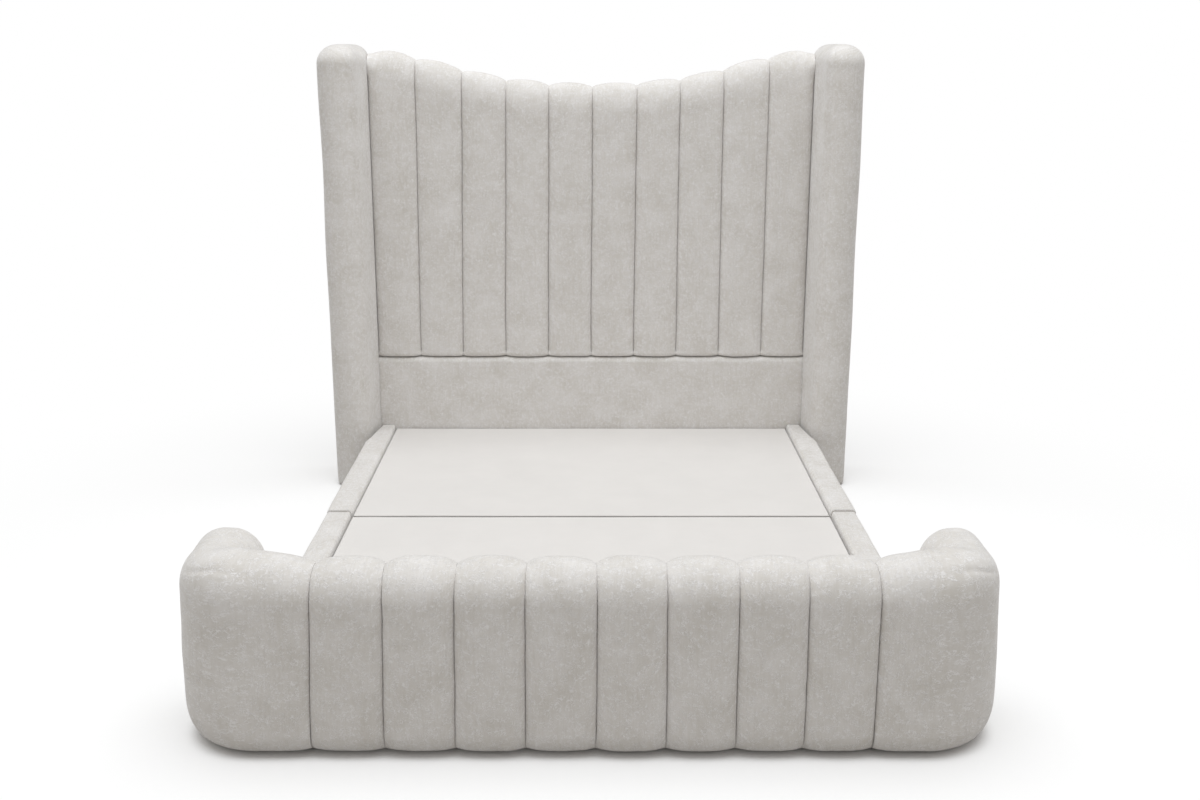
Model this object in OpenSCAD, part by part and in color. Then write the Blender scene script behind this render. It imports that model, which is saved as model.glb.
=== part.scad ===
// Upholstered king-size bed: winged headboard with ten upright channels, a
// low two-part base with lift-out deck panels, and a channelled footboard
// whose corner bolsters wrap round the base.
// Frame: X across, +Y towards the headboard, +Z up. The origin is on the
// floor where the two halves of the base meet, on the centre line.

/* [Mattress well] */
// Width of the mattress
mattress_w = 1500; // [1350:10:1800]
// Length of the mattress
mattress_l = 2000; // [1900:10:2200]
// Space left at each side and end of the mattress
mattress_gap = 10; // [8:1:20]
// Height of the deck above the floor
deck_z = 186; // [170:1:240]

/* [Base] */
// Height of the padded side rails above the deck
rail_rise = 22; // [18:1:40]
// Thickness of the outer padding of a side rail
rail_pad = 31; // [24:1:45]
// Thickness of the padding on the inner side of a rail
rail_lip = 15; // [12:1:20]
// Thickness of a side board
side_board_t = 36; // [25:1:45]
// Thickness of the end and link boards
end_board_t = 28; // [20:1:40]
// Height of the glides
glide_h = 18; // [12:1:30]
// Diameter of a glide
glide_d = 50; // [40:1:70]
// Width of a ledge that carries the deck panels
ledge_w = 60; // [50:1:90]
// Depth of a ledge
ledge_h = 34; // [25:1:45]
// Width of a centre joist
joist_w = 60; // [45:1:90]
// Thickness of a deck panel's board
deck_board_t = 15; // [12:1:18]
// Thickness of a deck panel's padded cover
deck_cover_t = 4; // [3:0.5:6]
// Gap round the deck panels
deck_gap = 3.5; // [3:0.5:6]
// Diameter of the frame bolts
bolt_d = 8; // [6:1:10]

/* [Headboard] */
// Height of the headboard in the middle
head_mid_top = 1495; // [1200:5:1600]
// Radius of the swoop along the top
swoop_r = 2400; // [2000:50:4000]
// Distance from the mattress well to the inner face of a wing
wing_offset = 58; // [54:1:75]
// Number of upright channels
head_channels = 10; // [10:1:10]
// Height of the lower ends of the channels
channel_z = 476; // [440:1:520]
// Padding in front of the headboard's board
head_pad = 30; // [28:1:45]
// Depth of the headboard from its face to its back
head_t = 110; // [104:1:140]
// Depth of the rounded top of the channels, from front to back
head_roll = 48; // [42:1:52]
// Height of the rounded top of the channels
head_roll_h = 84; // [60:2:96]
// Thickness of the headboard's front board
front_board_t = 6; // [4:1:9]
// Width of a stile
stile_w = 44; // [40:1:70]
// Height of the wings
wing_top = 1634; // [1560:2:1800]
// How far the wings reach in front of the headboard
wing_reach = 180; // [150:5:220]
// Thickness of a wing
wing_t = 157; // [140:1:170]
// Thickness of the timber core of a wing
wing_core_t = 70; // [50:1:80]
// How far the inner face of a wing opens towards the front
wing_splay = 15; // [0:1:20]
// Height of the rounded part at the top of a wing
wing_round = 110; // [80:5:150]
// Length of the rounded front of a wing
wing_nose = 65; // [50:5:80]

/* [Footboard] */
// Height of the footboard
foot_top = 478; // [440:1:520]
// Thickness of the footboard and its corner bolsters
foot_t = 180; // [176:1:200]
// Number of channels between the corner bolsters
foot_channels = 8; // [8:1:8]
// Padding on each face of the footboard's frame
foot_pad = 36; // [34:1:40]
// Radius of the lower front edge
foot_low_r = 62; // [55:1:70]
// Radius of the centre line of a corner bolster
corner_r = 100; // [95:5:140]
// How much fuller a bolster's top is half way round its corner
corner_full = 8; // [0:1:14]
// Thickness of a bolster beside the rail
return_t = 168; // [150:2:180]
// Width of the rounded lower edge at the corner
corner_low_w = 60; // [50:2:66]
// Height of the rounded lower edge at the corner
corner_low_h = 105; // [70:5:130]
// Length of a bolster beside the rail, from the inner face of the footboard
return_l = 186; // [150:2:230]
// Length of the rounded end of a bolster
return_round = 75; // [60:1:80]

/* [Sewing] */
// Depth of the seams between channels
seam_depth = 24; // [16:1:26]
// Length of the fullness at a channel's lower end
channel_round = 24; // [18:1:28]

/* [Hidden] */

cloth = "#d8d5d0";
deck_cloth = "#dcd8d2";
pine = "#d9b98a";
ply = "#c9a878";
black_plastic = "#2b2b2b";
zinc = "#b8bcc0";
back_cloth = "#4a4744";

fit = 0.3;
small = 0.01;
fine = 20;
clear = 2;
half_gap = 0.2;
rail_gap = 0.5;
rail_round = 15;
rail_cap = 25;
cover_side = 2;
cover_corner = 6;

well_x = mattress_w / 2 + mattress_gap;
well_y = mattress_l / 2 + mattress_gap;
rail_top = deck_z + rail_rise;
board_in = well_x + rail_lip + fit;
board_out = board_in + side_board_t;
rail_out = board_out + rail_pad;
deck_low = deck_z - deck_board_t - deck_cover_t;
board_h = deck_low - glide_h;
side_h = rail_top - rail_cap - glide_h;
base_y = well_y - clear;

head_x = well_x + wing_offset;
pitch = 2 * head_x / head_channels;
head_y = well_y;
head_back = head_y + head_t;
board_y = head_y + head_pad;
frame_y = board_y + front_board_t;
back_skin = 6;
frame_back = head_back - back_skin;
roll_under = 48;
top_rail_low = 116;
cover_low = 78;
band_round = 18;
wing_in = head_x + fit;
wing_out = wing_in + wing_t;
wing_y = head_y - wing_reach;
wing_pad_t = 36;
wing_nose_pad = 50;
wing_top_pad = 94;
wing_foot = 34;
wing_crown_depth = 0.38;
core_in = wing_in + wing_pad_t;
core_y = wing_y + wing_nose_pad;
core_top = wing_top - wing_top_pad;

foot_tuck = 4;
foot_in = -well_y + foot_tuck;
foot_out = foot_in - foot_t;
foot_mid = foot_in - foot_t / 2;
foot_seam = foot_channels * pitch / 2;
foot_r = foot_t / 2;
foot_low = 3;
return_in = board_out + fit;
return_r = return_t / 2;
return_x = return_in + return_r;
return_y = foot_in + return_l;
foot_board_y = foot_in + clear;
corner_free_y = foot_in + corner_r - foot_r + clear;
frame_front = foot_out + foot_pad;
frame_in = foot_in - foot_pad;
crown_pad = 58;
plate_top = foot_top - crown_pad;
plate_t = 22;
plate_z = 12;
flap_drop = 15;
flap_z = deck_low - flap_drop;
link_bolt_z = glide_h + board_h / 2;
post_w = 70;
post_inset = 20;
bolt_pitch = (2 * foot_seam - post_w - 2 * post_inset) / 3;
bolt_xs = [for (i = [-1.5 : 1.5]) i * bolt_pitch];
bolt_facets = 12;

// Height of the crown of the headboard's top at x
function swoop(x) = head_mid_top + swoop_r - sqrt(swoop_r * swoop_r - x * x);

// How deep the cloth is drawn in at u, from -1 to 1 across a channel
function drawn_in(u) = seam_depth * (1 - pow(1 - pow(abs(u), 2.4), 0.6));
stations = [-1, -0.86, -0.5, 0, 0.5, 0.86, 1];

// A solid through closed rings that each run up one side and down the other
module loft(rings) {
    n = len(rings[0]);
    m = len(rings);
    last = (m - 1) * n;
    sides = [for (j = [0 : m - 2]) for (i = [0 : n - 1])
        let (a = j * n + i, b = j * n + (i + 1) % n)
        each [[a, b, b + n], [a, b + n, a + n]]];
    cap = [for (i = [0 : n / 2 - 2])
        each [[i, n - 1 - i, n - 2 - i], [i, n - 2 - i, i + 1]]];
    far_cap = [for (t = cap) [t[0] + last, t[2] + last, t[1] + last]];
    near_cap = cap;
    polyhedron(points = [for (r = rings) each r],
        faces = concat(sides, near_cap, far_cap));
}

// A round-cornered rectangle with its lower left corner at the origin
module round_rect(w, h, r) {
    translate([r, 0]) square([w - 2 * r, h]);
    translate([0, r]) square([w, h - 2 * r]);
    for (x = [r, w - r], y = [r, h - r]) translate([x, y]) circle(r, $fn = fine);
}

// Repeats a right-hand piece on the left
module left() {
    mirror([1, 0, 0]) children();
}

// Base frame

module side_board(y0, y1) {
    translate([board_in, y0, glide_h]) cube([side_board_t, y1 - y0, side_h]);
}

module cross_board(y0) {
    difference() {
        translate([-board_in + fit, y0, glide_h])
            cube([2 * (board_in - fit), end_board_t, board_h]);
        for (x = bolt_xs) bolt_hole(x, y0 - 1, end_board_t + 2);
    }
}

module bolt_hole(x, y, l) {
    translate([x, y, link_bolt_z]) rotate([-90, 0, 0])
        cylinder(h = l, d = bolt_d + 1, $fn = fine);
}

module head_left_board() { left() head_right_board(); }
module head_right_board() { color(pine) side_board(half_gap, base_y); }
module foot_left_board() { left() foot_right_board(); }
module foot_right_board() { color(pine) side_board(corner_free_y, -half_gap); }
module head_end_board() { color(pine) cross_board(base_y - end_board_t); }
module foot_end_board() { color(pine) cross_board(foot_board_y); }
module head_link_board() { color(pine) cross_board(half_gap); }
module foot_link_board() { color(pine) cross_board(-half_gap - end_board_t); }

module joist(y0, y1) {
    translate([-joist_w / 2, y0, glide_h]) cube([joist_w, y1 - y0, board_h]);
}

module centre_joists() {
    color(pine) {
        joist(half_gap + end_board_t + fit, base_y - end_board_t - fit);
        joist(foot_board_y + end_board_t + fit, -half_gap - end_board_t - fit);
    }
}

module ledge(y0, y1) {
    translate([board_in - ledge_w, y0, deck_low - ledge_h])
        cube([ledge_w - fit, y1 - y0, ledge_h]);
}

module left_deck_ledges() { left() right_deck_ledges(); }
module right_deck_ledges() {
    color(pine) {
        ledge(half_gap + end_board_t + fit, base_y - end_board_t - fit);
        ledge(foot_board_y + end_board_t + fit, -half_gap - end_board_t - fit);
    }
}

glide_x = board_out - glide_d / 2 - 1;
glide_xs = [-glide_x, 0, glide_x];
glide_ys = [-base_y + 60, -base_y / 2, 0, base_y / 2, base_y - 60];

module base_glides() {
    color(black_plastic) for (x = glide_xs, y = glide_ys)
        translate([x, y, 0]) glide(glide_h - 0.1);
    color(black_plastic) for (x = [-bolt_pitch, bolt_pitch]) {
        translate([x, frame_in - glide_d / 2, 0]) glide(plate_z - 0.1);
        translate([x, frame_y - glide_d / 2, 0]) glide(glide_h - 0.1);
    }
}

module glide(h) {
    cylinder(h = 3, d1 = glide_d - 6, d2 = glide_d, $fn = fine);
    translate([0, 0, 3]) cylinder(h = h - 3, d = glide_d, $fn = fine);
}

module bolt(x, y, grip) {
    translate([x, y, link_bolt_z]) rotate([-90, 0, 0]) {
        cylinder(h = grip + 11, d = bolt_d, $fn = bolt_facets);
        translate([0, 0, -5]) cylinder(h = 5, d = 1.8 * bolt_d, $fn = bolt_facets);
        translate([0, 0, grip]) cylinder(h = 7, d = 1.9 * bolt_d, $fn = 6);
    }
}

module frame_bolts() {
    color(zinc) for (x = bolt_xs) {
        bolt(x, -half_gap - end_board_t, 2 * (end_board_t + half_gap));
        bolt(x, base_y - end_board_t, frame_y - fit - base_y + end_board_t);
        bolt(x, frame_in - 6, foot_board_y + end_board_t - frame_in + 6);
    }
}

// Padded side rails, each a cloth-covered pad folded over its side board

module rail_profile(out_x) {
    w = out_x - well_x;
    difference() {
        translate([well_x, glide_h / 2]) round_rect(w, rail_top - glide_h / 2, rail_round);
        translate([well_x - 1, 0]) square([rail_lip + 1, deck_low + 1]);
        translate([board_in - fit, -1]) square([side_board_t + 2 * fit,
            glide_h + side_h + fit + 1]);
    }
}

module rail(y0, y1, out_x) {
    translate([0, y1, 0]) rotate([90, 0, 0])
        linear_extrude(y1 - y0) rail_profile(out_x);
}

module head_left_rail() { left() head_right_rail(); }
module head_right_rail() {
    color(cloth) difference() {
        rail(rail_gap, base_y, rail_out);
        linear_extrude(rail_top + 1) polygon([
            [wing_in + wing_splay - 1, wing_y - 12],
            [rail_out + 1, wing_y - 12], [rail_out + 1, base_y + 1],
            [wing_in - 1, base_y + 1]]);
    }
}

module foot_left_rail() { left() foot_right_rail(); }
module foot_right_rail() {
    color(cloth) difference() {
        rail(corner_free_y, -rail_gap, rail_out);
        translate([board_out, -base_y, -1])
            cube([rail_pad + 1, base_y + return_y + 1, rail_top + 2]);
    }
}

// Deck panels that lift out

module deck_board(y0, y1) {
    e = deck_gap + cover_side;
    translate([-well_x + e, y0 + cover_side, deck_low])
        cube([2 * (well_x - e), y1 - y0 - 2 * cover_side, deck_board_t]);
}

module deck_cover(y0, y1) {
    w = 2 * (well_x - deck_gap);
    e = cover_side - cloth_fit;
    difference() {
        translate([-w / 2, y0, deck_low + 1]) linear_extrude(deck_board_t + deck_cover_t - 1)
            round_rect(w, y1 - y0, cover_corner);
        translate([-w / 2 + e, y0 + e, deck_low])
            cube([w - 2 * e, y1 - y0 - 2 * e, deck_board_t + cloth_fit]);
    }
}

cloth_fit = 0.05;
deck_split = 2;
head_deck_y = base_y - clear;
foot_deck_y = -well_y + 2 * foot_tuck;

module head_deck_board() { color(ply) deck_board(deck_split, head_deck_y); }
module foot_deck_board() { color(ply) deck_board(foot_deck_y, -deck_split); }
module head_deck_cover() { color(deck_cloth) deck_cover(deck_split, head_deck_y); }
module foot_deck_cover() { color(deck_cloth) deck_cover(foot_deck_y, -deck_split); }

// Headboard frame

module head_bottom_rail() {
    color(pine) difference() {
        translate([-head_x + stile_w, base_y + fit, glide_h])
            cube([2 * (head_x - stile_w), frame_y - base_y - 2 * fit, flap_z - glide_h]);
        for (x = bolt_xs) bolt_hole(x, base_y, head_pad + 30);
    }
}

module stile(x0, w, top) {
    translate([x0, frame_y + fit, glide_h])
        cube([w, frame_back - frame_y - fit, top - glide_h]);
}

module head_left_stile() { left() head_right_stile(); }
module head_right_stile() {
    color(pine) stile(head_x - stile_w, stile_w, swoop(head_x - stile_w) - top_rail_low - clear);
}
module head_centre_stile() { color(pine) stile(-stile_w, 2 * stile_w, swoop(0) - top_rail_low - clear); }

// The band under the swoop, from depth a to depth b below its crown
module swoop_band(half_w, a, b) {
    intersection() {
        difference() {
            translate([-half_w, head_mid_top - b])
                square([2 * half_w, b + swoop(half_w) - head_mid_top]);
            translate([0, head_mid_top - a + swoop_r]) circle(swoop_r, $fn = 360);
        }
        translate([0, head_mid_top - b + swoop_r]) circle(swoop_r, $fn = 360);
    }
}

module upright(y0, t) {
    translate([0, y0 + t, 0]) rotate([90, 0, 0]) linear_extrude(t) children();
}

module head_top_rail() {
    color(pine) upright(frame_y + fit, frame_back - frame_y - fit)
        swoop_band(head_x, roll_under + fit, top_rail_low);
}

module head_front_board() {
    color(ply) upright(board_y + fit, front_board_t - fit) difference() {
        translate([-head_x, flap_z + fit]) square([2 * head_x, swoop(head_x) - flap_z]);
        translate([0, head_mid_top - roll_under - fit + swoop_r]) circle(swoop_r, $fn = 360);
    }
}

cover_z = glide_h + 30;

module head_back_cover() {
    color(back_cloth) upright(frame_back + fit, 3) {
        difference() {
            translate([-head_x, cover_z]) square([2 * head_x, swoop(head_x) - cover_z]);
            translate([0, head_mid_top - cover_low + swoop_r]) circle(swoop_r, $fn = 360);
        }
        for (s = [-1, 1])
            translate([s > 0 ? head_x - small : -core_in - wing_core_t, cover_z])
                square([core_in + wing_core_t - head_x + small, wing_arm_top - cover_z - 2 * clear]);
    }
}

module lower_band() {
    r = band_round;
    h = channel_z - clear - flap_z - fit;
    color(cloth) translate([-head_x, head_y, flap_z + fit]) rotate([90, 0, 90])
        linear_extrude(2 * head_x) {
            square([head_pad, h - r]);
            translate([r, 0]) square([head_pad - r, h]);
            translate([r, h - r]) intersection() {
                circle(r, $fn = 2 * fine);
                translate([-r, 0]) square(r);
            }
        }
}

// One padded channel of the headboard, closed over the top of the frame

// Outline of the pad at x, as [y, z, how far the seam draws it in]
function head_outer(x) =
    let (top = swoop(x), r = head_roll, h = head_roll_h, c = channel_round,
        back = head_back - clear, b = 30)
    concat(
        [for (a = [270, 225, 180])
            [head_y + c + c * cos(a), channel_z + c + c * sin(a), a, a == 270 ? 0.25 : a == 225 ? 0.7 : 1]],
        [for (a = [180, 157.5, 135, 112.5, 90])
            [head_y + r + r * cos(a), top - h + h * sin(a), a, 1]],
        [for (a = [90, 45, 0])
            [back - b + b * cos(a), top - b + b * sin(a), a, a == 90 ? 0.9 : a == 45 ? 0.5 : 0.05]],
        [[back, top - cover_low + clear, 0, 0.02]]);

function head_inner(x) =
    let (top = swoop(x), y = board_y, under = top - roll_under, b = frame_back)
    [[y, channel_z + 2], [y, channel_z + 10], [y, channel_z + 30],
     [y, under - 40], [y, under - 20], [y, under], [y + 10, under],
     [y + 20, under], [b - 30, under], [b, under], [b, under - 10], [b, top - cover_low + clear]];

function head_ring(x, u) =
    let (outer = head_outer(x), inner = head_inner(x), e = drawn_in(u))
    concat([for (p = outer) [x, p[0] - e * p[3] * cos(p[2]), p[1] - e * p[3] * sin(p[2])]],
        [for (i = [len(inner) - 1 : -1 : 0]) [x, inner[i][0], inner[i][1]]]);

module head_channel(i) {
    mid = (i - (head_channels + 1) / 2) * pitch;
    half = pitch / 2 - fit / 2;
    color(cloth) loft([for (u = stations) head_ring(mid + u * half, u)]);
}

// Wings

// Plan of a wing, from its back along the inner face round the nose
function wing_plan() =
    let (in_f = wing_in + wing_splay, mid = (in_f + wing_out) / 2, rx = (wing_out - in_f) / 2,
        y = wing_y + wing_nose)
    concat([[wing_in, head_back], [wing_in + 2, head_y]],
        [for (a = [180 : 20 : 360]) [mid + rx * cos(a), y + wing_nose * sin(a)]],
        [[wing_out, head_y], [wing_out, head_back]]);

function wing_ring(z, k) =
    let (mid = wing_in + wing_t / 2, plan = wing_plan())
    [for (p = plan) [mid + (p[0] - mid) * k,
        head_back - (head_back - p[1]) * (1 - (1 - k) * wing_crown_depth), z]];

wing_rings = concat(
    [for (a = [82, 70, 56, 40, 20, 0])
        wing_ring(wing_top - wing_round + wing_round * sin(a) / sin(82), pow(cos(a), 0.55))],
    [wing_ring(wing_foot, 1), wing_ring(0.3 * wing_foot, 0.94), wing_ring(clear, 0.84)]);

wing_arm_top = swoop(head_x) - top_rail_low - clear;
module wing_core_block(gap) {
    translate([core_in - gap, core_y - gap, glide_h - gap])
        cube([wing_core_t + 2 * gap, frame_back - core_y + 2 * gap, core_top - glide_h + 2 * gap]);
    translate([wing_in - fit + (gap > 0 ? -1 : 0), frame_y - gap, glide_h - gap])
        cube([core_in - wing_in + fit + 2, frame_back - frame_y + 2 * gap,
            wing_arm_top - glide_h + 2 * gap]);
}

module left_wing_core() { left() right_wing_core(); }
module right_wing_core() { color(pine) wing_core_block(0); }
module left_wing_pad() { left() right_wing_pad(); }
module right_wing_pad() {
    color(cloth) difference() {
        loft(wing_rings);
        wing_core_block(fit);
        translate([core_in - fit, frame_back - 1, -1])
            cube([wing_core_t + 2 * fit, 20, core_top + 2]);
        translate([wing_in - 2, frame_y, -1])
            cube([core_in - wing_in + 4, head_back, wing_arm_top + 2]);
    }
}

// Footboard

module foot_bottom_plate() {
    color(pine) translate([-foot_seam, frame_front + 30, plate_z])
        cube([2 * foot_seam, frame_in - frame_front - 30, plate_t]);
}

module foot_top_plate() {
    color(pine) translate([-foot_seam, foot_mid - 40, plate_top - plate_t])
        cube([2 * foot_seam, 80, plate_t]);
}

module foot_posts() {
    color(pine) difference() {
        for (x = bolt_xs) {
            translate([x - post_w / 2, frame_front + front_board_t + fit, plate_z + plate_t + fit])
                cube([post_w, frame_in - frame_front - front_board_t - fit,
                    plate_top - 2 * plate_t - plate_z - 2 * fit]);
            translate([x - post_w / 2, frame_in - small, plate_z + plate_t + fit])
                cube([post_w, foot_pad - fit + small, flap_z - plate_z - plate_t - 2 * fit]);
        }
        for (x = bolt_xs) {
            bolt_hole(x, frame_in - 6, foot_pad + 20);
            translate([x, frame_front + front_board_t - 1, link_bolt_z]) rotate([-90, 0, 0])
                cylinder(h = frame_in - frame_front - front_board_t - 5, d = 24, $fn = fine);
        }
    }
}

module foot_front_board() {
    color(ply) translate([-foot_seam, frame_front, plate_z + plate_t + fit])
        cube([2 * foot_seam, front_board_t, plate_top - plate_z - plate_t - 15]);
}

function foot_outer() =
    let (r = foot_r, c = foot_low_r, y = foot_out)
    concat([[foot_mid, foot_low, 270, 0]],
        [for (a = [270, 225, 180])
            [y + c + c * cos(a), foot_low + c + c * sin(a), a, a == 270 ? 0.1 : a == 225 ? 0.6 : 1]],
        [for (a = [180 : -22.5 : 0]) [foot_mid + r * cos(a), foot_top - r + r * sin(a), a, 1]],
        [[foot_in, deck_z + 60, 0, 0.8], [foot_in, flap_z, 0, 0.15]]);

function foot_inner() =
    let (f = frame_front - fit, b = frame_in + fit, t = plate_top + fit, c = foot_mid,
        p = plate_z + plate_t - fit, s = frame_front + 30 - fit)
    [[c, plate_z - fit], [s, plate_z - fit], [s, p], [f, p],
     [f, t - 30], [f, t - 15], [c - 41, t], [c - 20, t], [c, t], [c + 20, t],
     [c + 41, t], [b, t - 15], [b, t - 30], [b, deck_z + 60], [b, flap_z]];

function foot_ring(x, u) =
    let (outer = foot_outer(), inner = foot_inner(), e = drawn_in(u))
    concat([for (p = outer) [x, p[0] - e * p[3] * cos(p[2]), p[1] - e * p[3] * sin(p[2])]],
        [for (i = [len(inner) - 1 : -1 : 0]) [x, inner[i][0], inner[i][1]]]);

module foot_channel(i) {
    mid = (i - (foot_channels + 1) / 2) * pitch;
    half = pitch / 2 - fit / 2;
    color(cloth) loft([for (u = stations) foot_ring(mid + u * half, u)]);
}

// Corner bolsters, swept from the last seam round the corner to a rounded end

// The right-hand centre line, as [x, y, heading, half thickness, how far
// round the corner, extra fullness on top, how far the end closes]
corner_stops = concat(
    [[foot_seam + fit / 2, foot_mid, 0, foot_r - seam_depth * 0.9, 0, 0, 0],
     [foot_seam + 12, foot_mid, 0, foot_r - seam_depth * 0.35, 0, 0, 0],
     [foot_seam + 42, foot_mid, 0, foot_r, 0, 0, 0]],
    [for (a = [0 : 15 : 90])
        [return_x - corner_r + corner_r * sin(a), foot_mid + corner_r - corner_r * cos(a), a,
            foot_r + (return_r - foot_r) * sin(a), sin(a), corner_full * pow(sin(2 * a), 2), 0]],
    [for (b = [0, 25, 50, 70, 85]) [return_x, return_y - return_round + return_round * sin(b),
        90, return_r, 1, 0, return_round * (1 - cos(b))]]);

inner_low_r = 40;

// Section at a stop, as [across, z] from the centre line, up the inner side
function corner_section(h, turned, full) =
    let (w = foot_low_r + turned * (corner_low_w - foot_low_r), i = inner_low_r,
        l = foot_low_r + turned * (corner_low_h - foot_low_r), c = foot_top - foot_low - foot_r)
    concat([[i - h, 0]],
        [for (a = [240, 210, 180]) [i - h + i * cos(a), i + i * sin(a)]],
        [for (a = [180 : -22.5 : 0]) let (f = full * pow(sin(a), a > 90 ? 2 : 4))
            [(h + f) * cos(a), c + (foot_r + f) * sin(a)]],
        [for (a = [0, -30, -60, -75]) [h - w + w * cos(a), l + l * sin(a)]],
        [[h - w, 0]]);

function corner_ring(s) =
    let (c = (foot_top - foot_low) / 2, shrink = 1 - s[6] / c, thin = 1 - s[6] / s[3])
    [for (p = corner_section(s[3], s[4], s[5]))
        [s[0] + p[0] * thin * sin(s[2]), s[1] - p[0] * thin * cos(s[2]),
            foot_low + c + (p[1] - c) * shrink]];

module corner_plan(w) {
    c = [return_x - corner_r, foot_mid + corner_r];
    translate(c) intersection() {
        difference() {
            circle(corner_r + w, $fn = 96);
            circle(corner_r - w, $fn = 96);
        }
        translate([0, -corner_r - w - 1]) square([corner_r + w + 1, corner_r + w + 1]);
    }
    translate([foot_seam + fit, foot_mid - w]) square([c[0] - foot_seam - fit + small, 2 * w]);
    translate([return_x - w, c[1] - small]) square([2 * w, return_y - 60 - c[1] + small]);
}

corner_core = 42;
module corner_frame() {
    for (z = [plate_z, plate_top - plate_t])
        translate([0, 0, z]) linear_extrude(plate_t) corner_plan(corner_core);
    for (p = [[foot_seam + 40, foot_mid], [return_x, return_y - 60 - 32]])
        translate([p[0] - 32, p[1] - 32, plate_z + plate_t - small])
            cube([64, 64, plate_top - plate_z - 2 * plate_t + 2 * small]);
}

module left_corner_frame() { left() right_corner_frame(); }
module right_corner_frame() { color(pine) corner_frame(); }
module left_corner_bolster() { left() right_corner_bolster(); }
module right_corner_bolster() {
    color(cloth) difference() {
        loft([for (i = [len(corner_stops) - 1 : -1 : 0]) corner_ring(corner_stops[i])]);
        translate([0, 0, plate_z - fit]) linear_extrude(plate_top - plate_z + 2 * fit)
            corner_plan(corner_core + fit);
        translate([foot_seam - 1, foot_mid - corner_core - fit, plate_z - fit])
            cube([4, 2 * (corner_core + fit), plate_top - plate_z + 2 * fit]);
    }
}

head_left_board();
head_right_board();
foot_left_board();
foot_right_board();
head_end_board();
foot_end_board();
head_link_board();
foot_link_board();
centre_joists();
left_deck_ledges();
right_deck_ledges();
head_left_rail();
head_right_rail();
foot_left_rail();
foot_right_rail();
head_deck_board();
foot_deck_board();
head_deck_cover();
foot_deck_cover();
base_glides();
frame_bolts();
head_bottom_rail();
head_top_rail();
head_left_stile();
head_right_stile();
head_centre_stile();
head_front_board();
head_back_cover();
lower_band();
head_channel(1);  // head_channel_1
head_channel(2);  // head_channel_2
head_channel(3);  // head_channel_3
head_channel(4);  // head_channel_4
head_channel(5);  // head_channel_5
head_channel(6);  // head_channel_6
head_channel(7);  // head_channel_7
head_channel(8);  // head_channel_8
head_channel(9);  // head_channel_9
head_channel(10);  // head_channel_10
left_wing_core();
right_wing_core();
left_wing_pad();
right_wing_pad();
foot_bottom_plate();
foot_top_plate();
foot_posts();
foot_front_board();
foot_channel(1);  // foot_channel_1
foot_channel(2);  // foot_channel_2
foot_channel(3);  // foot_channel_3
foot_channel(4);  // foot_channel_4
foot_channel(5);  // foot_channel_5
foot_channel(6);  // foot_channel_6
foot_channel(7);  // foot_channel_7
foot_channel(8);  // foot_channel_8
left_corner_frame();
right_corner_frame();
left_corner_bolster();
right_corner_bolster();
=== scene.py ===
"""Upholstered winged bed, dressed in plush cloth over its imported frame.

Every padded piece is a surface worked out with numpy from two parameters, one
along the pad and one across it, and takes its place from the frame's own nodes.
"""

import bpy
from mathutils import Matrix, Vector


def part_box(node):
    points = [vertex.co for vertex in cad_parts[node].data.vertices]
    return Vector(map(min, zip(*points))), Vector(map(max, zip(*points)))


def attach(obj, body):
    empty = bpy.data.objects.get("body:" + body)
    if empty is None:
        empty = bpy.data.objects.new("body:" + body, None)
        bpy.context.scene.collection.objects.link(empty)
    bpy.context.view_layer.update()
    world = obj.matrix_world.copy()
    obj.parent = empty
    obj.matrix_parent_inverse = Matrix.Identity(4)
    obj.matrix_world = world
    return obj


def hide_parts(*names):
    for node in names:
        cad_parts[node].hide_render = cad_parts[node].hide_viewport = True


bl_info = {
    "name": "Channelled bed",
    "version": (1, 0, 0),
    "blender": (4, 5, 0),
    "location": "View3D > Sidebar > Bed",
    "description": "Makes the padding, finishes and studio of a channelled bed",
    "category": "Object",
}

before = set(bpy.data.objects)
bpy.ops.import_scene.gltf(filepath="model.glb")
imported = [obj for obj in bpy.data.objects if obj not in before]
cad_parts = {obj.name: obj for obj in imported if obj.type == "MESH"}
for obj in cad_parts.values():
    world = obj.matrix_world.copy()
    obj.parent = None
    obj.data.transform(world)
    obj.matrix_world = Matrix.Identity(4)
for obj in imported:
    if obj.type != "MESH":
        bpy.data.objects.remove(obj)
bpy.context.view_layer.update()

import math

import bpy
import numpy as np
from bpy.props import FloatProperty, FloatVectorProperty, PointerProperty
from bpy.types import Operator, Panel, PropertyGroup

MM = 0.001
FIT = 0.3 * MM
SIDES = ((-1, "left"), (1, "right"))


def node_box(name):
    """Lowest and highest corner of a CAD node, as two arrays."""
    low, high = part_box(name)
    return np.array(low), np.array(high)


def linear(code):
    """Turns an sRGB hex code such as #d8d5d0 into linear red, green and blue."""
    parts = np.array([int(code[i : i + 2], 16) for i in (1, 3, 5)]) / 255
    low = parts / 12.92
    high = ((parts + 0.055) / 1.055) ** 2.4
    return tuple(float(v) for v in np.where(parts <= 0.04045, low, high))


# Places taken from the frame

HEAD_LOW, HEAD_HIGH = node_box("head_channel_1")
BAND_LOW, BAND_HIGH = node_box("lower_band")
FOOT_LOW, FOOT_HIGH = node_box("foot_channel_1")
WING_LOW, WING_HIGH = node_box("right_wing_pad")
BOLSTER_LOW, BOLSTER_HIGH = node_box("right_corner_bolster")
SIDE_LOW, SIDE_HIGH = node_box("head_right_board")
DECK_LOW, DECK_HIGH = node_box("head_deck_cover")
RAIL_OUTSIDE = node_box("head_right_rail")[1][0]
HEAD_BOARD_Y = node_box("head_front_board")[0][1]
FOOT_FRAME = node_box("foot_front_board")[0][1]

BACKING_EDGE = node_box("head_back_cover")[1][0] + FIT
COVER_TOP = node_box("right_wing_core")[1][2] - 22 * MM

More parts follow.
